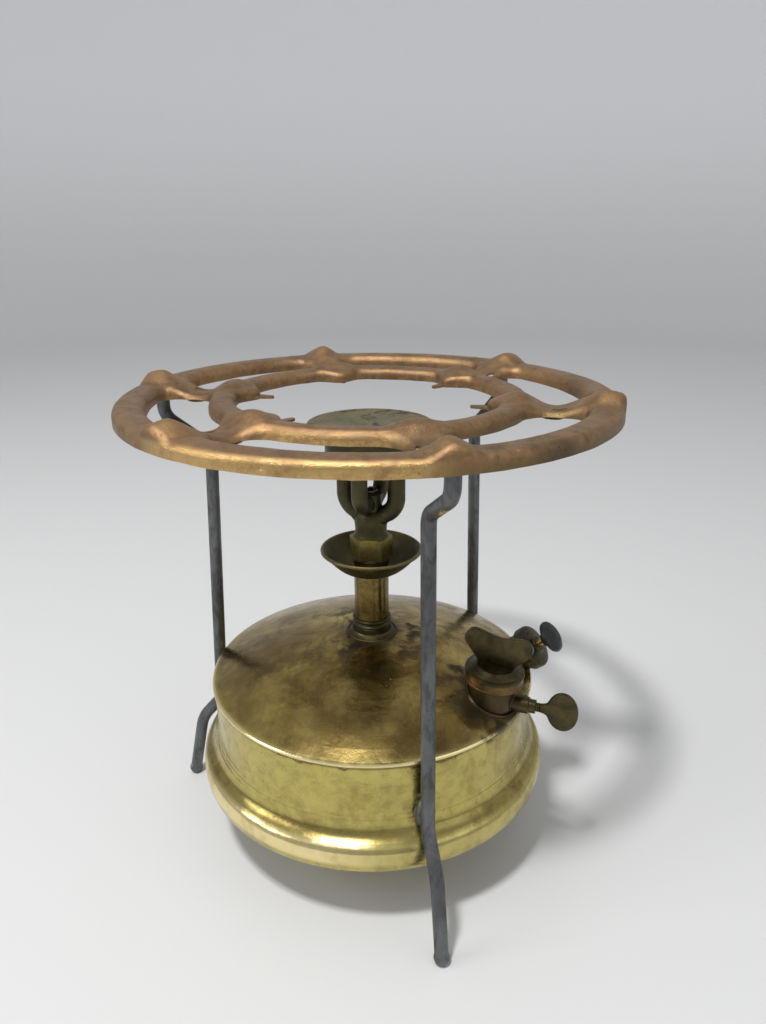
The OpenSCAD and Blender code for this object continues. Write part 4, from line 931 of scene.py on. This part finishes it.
def build_ring(settings):
    """The pressed ring: its sheet thickened, with finger tabs joined on and holes cut through."""
    bm = ring_sheet(settings.unevenness)
    ring = place_piece("pan_ring_sheet", bm, "pan_ring", "ring_metal", "pan_ring", 0)
    sheet = ring.modifiers.new("sheet", "SOLIDIFY")
    sheet.thickness = Ring.sheet * MM
    sheet.offset = -1
    sheet.use_even_offset = False
    freeze(ring)
    tabs, holes = bmesh.new(), bmesh.new()
    shortest = settings.shortest_tab
    for turn, share, middle in zip(Ring.spoke_turns, Ring.tab_shares, Ring.hole_sides):
        length = Ring.tab_length * (shortest + (1 - shortest) * share)
        prism(tabs, turned(tab_outline(length), turn), Ring.tab_low, Ring.tab_high)
        prism(holes, turned(pear_outline(middle), turn), Ring.hole_low, Ring.hole_high)
    cut_with(ring, loose_mesh("tabs", tabs), "UNION")
    cut_with(ring, loose_mesh("holes", holes), "DIFFERENCE")
    smooth_over(ring.data, 38)


def spot(turn, out, up):
    """A place at a turn round the stove's axis, some way out from it and up."""
    return Matrix.Rotation(math.radians(turn), 4, "Z") @ Matrix.Translation(Vector((out, 0, up)) * MM)


def lump(bm, place, radii, seed, rough):
    """An uneven rounded mass, its radii in millimetres."""
    coarse, fine, fine_share = 1.7, 5, 0.3
    made = bmesh.ops.create_icosphere(bm, subdivisions=4, radius=1.0)
    for v in made["verts"]:
        n = v.co.copy()
        slow = noise.noise(n * coarse + Vector((seed, 0, 0)))
        swell = 1 + rough * (slow + fine_share * noise.noise(n * fine))
        v.co = place @ (Vector([a * r for a, r in zip(n, radii)]) * swell * MM)


def build_leg_fillets():
    """Solder wiped round each leg where it touches the tank's wall."""
    out, up, radii = 77.4, 56.8, (3.1, 4.3, 6.2)
    bm = bmesh.new()
    for k, turn in enumerate(LEG_TURNS):
        lump(bm, spot(turn, out, up), radii, 5.0 * k, 0.16)
    place_piece("leg_fillets", bm, "stove", "solder", "leg_solder", 0)


def build_spring():
    """The check valve's coil spring, wound in the room of its packed sleeve."""
    coils, steps, closed_end = 4.5, 26, 0.12
    room, wire_r = 0.3 * MM, 0.294 * MM
    sleeve = NODES["check_spring"]
    sleeve_points = [sleeve.matrix_world @ v.co for v in sleeve.data.vertices]
    axis = Vector(PUMP_OUT).normalized()
    along = [p.dot(axis) for p in sleeve_points]
    low, high = min(along) + room, max(along) - room
    middle = sum(sleeve_points, Vector()) / len(sleeve_points)
    reach = max((p - middle - axis * (p - middle).dot(axis)).length for p in sleeve_points) - room
    place = axis_frame((middle - axis * middle.dot(axis)) / MM, axis)
    points = []
    for i in range(int(coils * steps) + 1):
        t = i / (coils * steps)
        a = math.tau * coils * t
        climb = min(1, max(0, (t - closed_end) / (1 - 2 * closed_end)))
        points.append(place @ Vector((reach * math.cos(a), reach * math.sin(a), low + (high - low) * climb)))
    bm = bmesh.new()
    tube_mesh(bm, points, lambda i, a: wire_r, 8)
    place_piece("check_coil", bm, "check_pip", "spring_steel", "check_spring")


def threaded(place, outer, inner, low, high, thread_low, pitch, depth, around):
    """A tube, or a rod with an inner radius of 0, with a screw thread cut into its outside."""
    rows, half_groove, run_out = 7, 0.36, 0.15
    heights = [low]
    z = max(low, thread_low)
    while z < high:
        heights.append(z)
        z += pitch / rows
    heights.append(high)
    profile = [(outer, z) for z in heights]
    if inner:
        profile += [(inner, high), (inner, low)]

    def reach(r, z, a):
        if r < outer or z < thread_low:
            return r
        phase = (z / pitch - a / math.tau) % 1
        groove = max(0.0, 1 - abs(phase - 0.5) / half_groove)
        fade = min(1.0, (z - thread_low) / pitch, (high - z) / pitch + run_out)
        return r - depth * groove * max(0.0, fade)

    bm = bmesh.new()
    turned_mesh(bm, profile, reach, around, place, bool(inner))
    return bm


def build_threads():
    """The screw threads of the filler's neck and of the air screw's shank."""
    top = FILLER_TOP - FILLER_AT[2]
    neck = {"outer": 10.2, "inner": 8.4, "low": -6.0, "high": top, "thread_low": top - 6.4}
    shank = {"outer": 2.0, "inner": 0, "low": 11.8, "high": 21.6, "thread_low": 12.4}
    bm = threaded(axis_frame(FILLER_AT, FILLER_UP), pitch=1.5, depth=0.55, around=96, **neck)
    place_piece("threaded_neck", bm, "stove", "dark_brass", "filler_neck")
    bm = threaded(axis_frame(AIR_FOOT, AIR_OUT), pitch=0.7, depth=0.22, around=40, **shank)
    place_piece("air_shank", bm, "air_screw", "dark_brass", "air_screw")


def build_rounded():
    """Cast and turned pieces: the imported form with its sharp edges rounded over."""
    weld, nearly_flat, sharp, crease = 0.004, 1.2, 32, 30
    for node, body, slot, width in (
        ("cap_wing", "filler_cap", "dark_brass", 0.55),
        ("air_paddle", "air_paddle", "dark_brass", 0.45),
        ("burner_base", "stove", "burner_patina", 0.25),
    ):
        bm = bmesh.new()
        bm.from_mesh(NODES[node].data)
        bm.transform(NODES[node].matrix_world)
        bmesh.ops.remove_doubles(bm, verts=bm.verts, dist=weld * MM)
        bmesh.ops.dissolve_limit(bm, angle_limit=math.radians(nearly_flat), verts=bm.verts, edges=bm.edges)
        piece = place_piece(node + "_rounded", bm, body, slot, node, 0)
        ease = piece.modifiers.new("ease", "BEVEL")
        ease.width = width * MM
        ease.segments = 3
        ease.limit_method = "ANGLE"
        ease.angle_limit = math.radians(sharp)
        ease.use_clamp_overlap = True
        freeze(piece)
        smooth_over(piece.data, crease)


def build_dome_solder(size):
    """Solder round the riser's collar and the filler's neck, where they stand on the dome."""
    collar_r, neck_r = 11.6, 10.6
    dome = surface_of("tank_shell")
    bm = bmesh.new()
    bead(bm, seam_points(dome, (0, 0, 0), (0, 0, 1), collar_r, 80, 130), 0.75 * size, 1.0)
    bead(bm, seam_points(dome, FILLER_AT, FILLER_UP, neck_r, -20, 20), size, 4.0)
    place_piece("dome_solder", bm, "stove", "dark_brass", None, 0)


def build_burner_braze(size):
    """Braze under the cup and round the tubes' tops, and lumps where the tubes branch off."""
    cup_foot, riser_r, bowl_foot, tube_ring = 131.9, 8.3, 185.0, 12.4
    bm = bmesh.new()
    bead(bm, circle((0, 0, cup_foot), riser_r, 48), 0.7 * size, 2.0)
    tubes = [(turn, 4.2) for turn in FEED_TURNS] + [(turn, 3.8) for turn in RETURN_TURNS]
    for k, (turn, radius) in enumerate(tubes):
        centre = (*turned([(tube_ring, 0)], turn)[0], bowl_foot)
        bead(bm, circle(centre, radius, 28), 0.6 * size, 7.0 + k)
    lumps = [(spot(turn, 4.9, 159.6), -30, (5.4, 4.6, 4.4)) for turn in FEED_TURNS]
    lumps += [(spot(turn, 5.4, 166.2), 0, (4.6, 4.0, 4.2)) for turn in RETURN_TURNS]
    for k, (place, lean, radii) in enumerate(lumps):
        lump(bm, place @ Matrix.Rotation(math.radians(lean), 4, "Y"), radii, 11.0 + k, 0.08)
    place_piece("burner_braze", bm, "stove", "burner_patina", None, 0)


def build_boss_braze(size):
    """Braze round the air screw's boss, where it stands on the filler's neck."""
    boss_r = 3.75
    bm = bmesh.new()
    bead(bm, seam_points(surface_of("filler_neck"), AIR_FOOT, AIR_OUT, boss_r, 0, 16, 40), 0.5 * size, 3.0)
    place_piece("boss_braze", bm, "stove", "dark_brass", None, 0)


# Settings
class RingSettings(bpy.types.PropertyGroup):
    """Look of the pressed ring."""

    unevenness: bpy.props.FloatProperty(
        name="Unevenness",
        description="How far the pressed sheet wanders from its true height, in millimetres",
        default=0.16,
        min=0.0,
        max=0.3,
    )
    shortest_tab: bpy.props.FloatProperty(
        name="Shortest finger tab",
        description="Length of the shortest finger tab as a part of the longest",
        default=0.65,
        min=0.4,
        max=1.0,
    )


class JointSettings(bpy.types.PropertyGroup):
    """Look of the solder and braze."""

    bead: bpy.props.FloatProperty(
        name="Bead",
        description="Thickness of the solder and braze beads, as a part of the usual one",
        default=1.0,
        min=0.5,
        max=1.4,
    )


class StageSettings(bpy.types.PropertyGroup):
    """Light, floor and camera."""

    floor_colour: bpy.props.FloatVectorProperty(
        name="Floor colour",
        description="Colour of the floor and of the backdrop",
        subtype="COLOR",
        size=3,
        default=(0.62, 0.62, 0.62),
        min=0,
        max=1,
    )
    key_power: bpy.props.FloatProperty(
        name="Key light",
        description="Power of the small soft lamp high at the left",
        default=15.0,
        min=0,
        unit="POWER",
    )
    room_light: bpy.props.FloatProperty(
        name="Room light",
        description="Brightness of the pale room round the stove",
        default=0.55,
        min=0,
        max=2,
    )


# Operators
class STOVE_OT_dress_nodes(bpy.types.Operator):
    """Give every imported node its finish"""

    bl_idname = "stove.dress_nodes"
    bl_label = "Dress the packed nodes"

    def execute(self, context):
        for group in GROUPS:
            group()
        tank_brass()
        ring_metal()
        leg_steel()
        burner_patina()
        dark_brass()
        for name, finish in WORN_FINISHES.items():
            worn_finish(name, **finish)
        for part in frame["record"]["subparts"]:
            node = NODES[part["node"]]
            node.data.materials.clear()
            node.data.materials.append(FINISH[part["material_slot"]])
        return {"FINISHED"}


class STOVE_OT_pan_ring(bpy.types.Operator):
    """Press the pan ring, its spokes, humps, holes and finger tabs"""

    bl_idname = "stove.pan_ring"
    bl_label = "Pan ring"

    def execute(self, context):
        build_ring(context.scene.stove_ring)
        return {"FINISHED"}


class STOVE_OT_rounded(bpy.types.Operator):
    """Round the cast wing, the screw's paddle and the burner's foot"""

    bl_idname = "stove.rounded"
    bl_label = "Rounded castings"

    def execute(self, context):
        build_rounded()
        return {"FINISHED"}


class STOVE_OT_threads(bpy.types.Operator):
    """Cut the screw threads of the filler neck and the air screw"""

    bl_idname = "stove.threads"
    bl_label = "Screw threads"

    def execute(self, context):
        build_threads()
        return {"FINISHED"}


class STOVE_OT_spring(bpy.types.Operator):
    """Wind the check valve's spring"""

    bl_idname = "stove.spring"
    bl_label = "Check valve's spring"

    def execute(self, context):
        build_spring()
        return {"FINISHED"}


class STOVE_OT_joints(bpy.types.Operator):
    """Run solder and braze round the joints"""

    bl_idname = "stove.joints"
    bl_label = "Solder and braze"

    def execute(self, context):
        size = context.scene.stove_joints.bead
        build_leg_fillets()
        build_dome_solder(size)
        build_burner_braze(size)
        build_boss_braze(size)
        return {"FINISHED"}


class STOVE_OT_stage(bpy.types.Operator):
    """Lay the floor, light it and place the camera"""

    bl_idname = "stove.stage"
    bl_label = "Stage"

    def execute(self, context):
        settings = context.scene.stove_stage
        scene = context.scene
        scene.view_settings.view_transform = "Standard"
        lay_floor(settings)
        place_lights(settings)
        place_camera(scene)
        return {"FINISHED"}


# Stage
def lay_floor(settings):
    """A round floor that curves up into a low wall on every side, its sizes in metres."""
    reach, bend, high, around = 2.4, 0.6, 1.5, 96
    flat_step, flat_rings, bend_steps = 0.3, 5, 12
    profile = [(flat_step * (i + 1), 0.0) for i in range(flat_rings)]
    for i in range(bend_steps + 1):
        a = math.pi / 2 * i / bend_steps
        profile.append((reach - bend + bend * math.sin(a), bend - bend * math.cos(a)))
    profile.append((reach, high))
    bm = bmesh.new()
    turns = [(math.cos(a), math.sin(a)) for a in angles(around)]
    rings = [[bm.verts.new((r * c, r * s, z)) for c, s in turns] for r, z in profile]
    bm.faces.new(rings[0])
    skin(bm, rings[::-1])
    mesh = bpy.data.meshes.new("floor")
    bm.to_mesh(mesh)
    bm.free()
    mesh.shade_smooth()
    mesh.materials.append(pale_floor(settings.floor_colour))
    floor = bpy.data.objects.new("floor", mesh)
    bpy.context.scene.collection.objects.link(floor)


def pale_floor(colour):
    """The floor's colour, which pales towards the top of the wall."""
    wall_colour, from_height, to_height = (0.83, 0.84, 0.86), 0.02, 0.7
    material = bpy.data.materials.new("pale_floor")
    material.use_nodes = True
    t = Tree(material.node_tree)
    shader = t.nodes["Principled BSDF"]
    at = t.node("ShaderNodeTexCoord").outputs["Object"]
    height = t.node("ShaderNodeSeparateXYZ", {0: at}).outputs[2]
    up = t.ranged(height, from_height, to_height)
    t.put(shader.inputs["Base Color"], t.mix(up, colour, wall_colour))
    shader.inputs["Roughness"].default_value = 0.6
    return material


def place_lights(settings):
    scene = bpy.context.scene
    world = bpy.data.worlds.new("room")
    world.use_nodes = True
    world.node_tree.nodes["Background"].inputs[0].default_value = (0.93, 0.94, 0.95, 1)
    world.node_tree.nodes["Background"].inputs[1].default_value = settings.room_light
    scene.world = world
    for name, at, size, power in (
        ("key", (-0.31, -0.44, 1.35), 0.14, settings.key_power),
        ("window", (-1.25, -0.3, 0.85), 0.55, settings.key_power * 0.3),
        ("fill", (0.9, -0.8, 0.8), 0.9, settings.key_power * 0.1),
    ):
        lamp = bpy.data.lights.new(name, "AREA")
        lamp.size = size
        lamp.energy = power
        holder = bpy.data.objects.new(name, lamp)
        holder.location = at
        aim = Vector((0, 0, 0.12)) - Vector(at)
        holder.rotation_mode = "QUATERNION"
        holder.rotation_quaternion = aim.to_track_quat("-Z", "Y")
        scene.collection.objects.link(holder)


def place_camera(scene):
    """The camera stands where the photograph was taken."""
    focal_px, high_px = 780.0, 1024.0
    data = bpy.data.cameras.new("camera")
    data.sensor_fit = "VERTICAL"
    data.sensor_height = 36
    data.lens = focal_px / high_px * data.sensor_height
    data.clip_start = 0.01
    pitch, yaw, roll = map(math.radians, (20.386, 4.18, -0.23))
    ahead = Vector((math.sin(yaw) * math.cos(pitch), math.cos(yaw) * math.cos(pitch), -math.sin(pitch)))
    right = Vector((math.cos(yaw), -math.sin(yaw), 0))
    up = right.cross(ahead)
    right, up = right * math.cos(roll) + up * math.sin(roll), up * math.cos(roll) - right * math.sin(roll)
    turn = Matrix((right, up, -ahead)).transposed()
    camera = bpy.data.objects.new("camera", data)
    camera.matrix_world = Matrix.Translation((-0.01866, -0.3308, 0.2839)) @ turn.to_4x4()
    scene.collection.objects.link(camera)
    scene.camera = camera


class STOVE_PT_panel(bpy.types.Panel):
    """Lists the steps that build the stove"""

    bl_idname = "STOVE_PT_panel"
    bl_label = "Pressure stove"
    bl_space_type = "VIEW_3D"
    bl_region_type = "UI"
    bl_category = "Stove"

    def draw(self, context):
        for step in STEPS:
            self.layout.operator(step.bl_idname)
        for name, group in SETTINGS.items():
            for key in group.__annotations__:
                self.layout.prop(getattr(context.scene, name), key)


STEPS = (
    STOVE_OT_dress_nodes,
    STOVE_OT_pan_ring,
    STOVE_OT_rounded,
    STOVE_OT_threads,
    STOVE_OT_spring,
    STOVE_OT_joints,
    STOVE_OT_stage,
)
SETTINGS = {"stove_ring": RingSettings, "stove_joints": JointSettings, "stove_stage": StageSettings}


def register():
    for group in SETTINGS.values():
        bpy.utils.register_class(group)
    for kind in (*STEPS, STOVE_PT_panel):
        bpy.utils.register_class(kind)
    for name, group in SETTINGS.items():
        setattr(bpy.types.Scene, name, bpy.props.PointerProperty(type=group))


def unregister():
    for name in SETTINGS:
        delattr(bpy.types.Scene, name)
    for kind in reversed((*SETTINGS.values(), *STEPS, STOVE_PT_panel)):
        bpy.utils.unregister_class(kind)


def main():
    register()
    for step in STEPS:
        group, name = step.bl_idname.split(".")
        getattr(getattr(bpy.ops, group), name)()


if __name__ == "__main__":
    main()
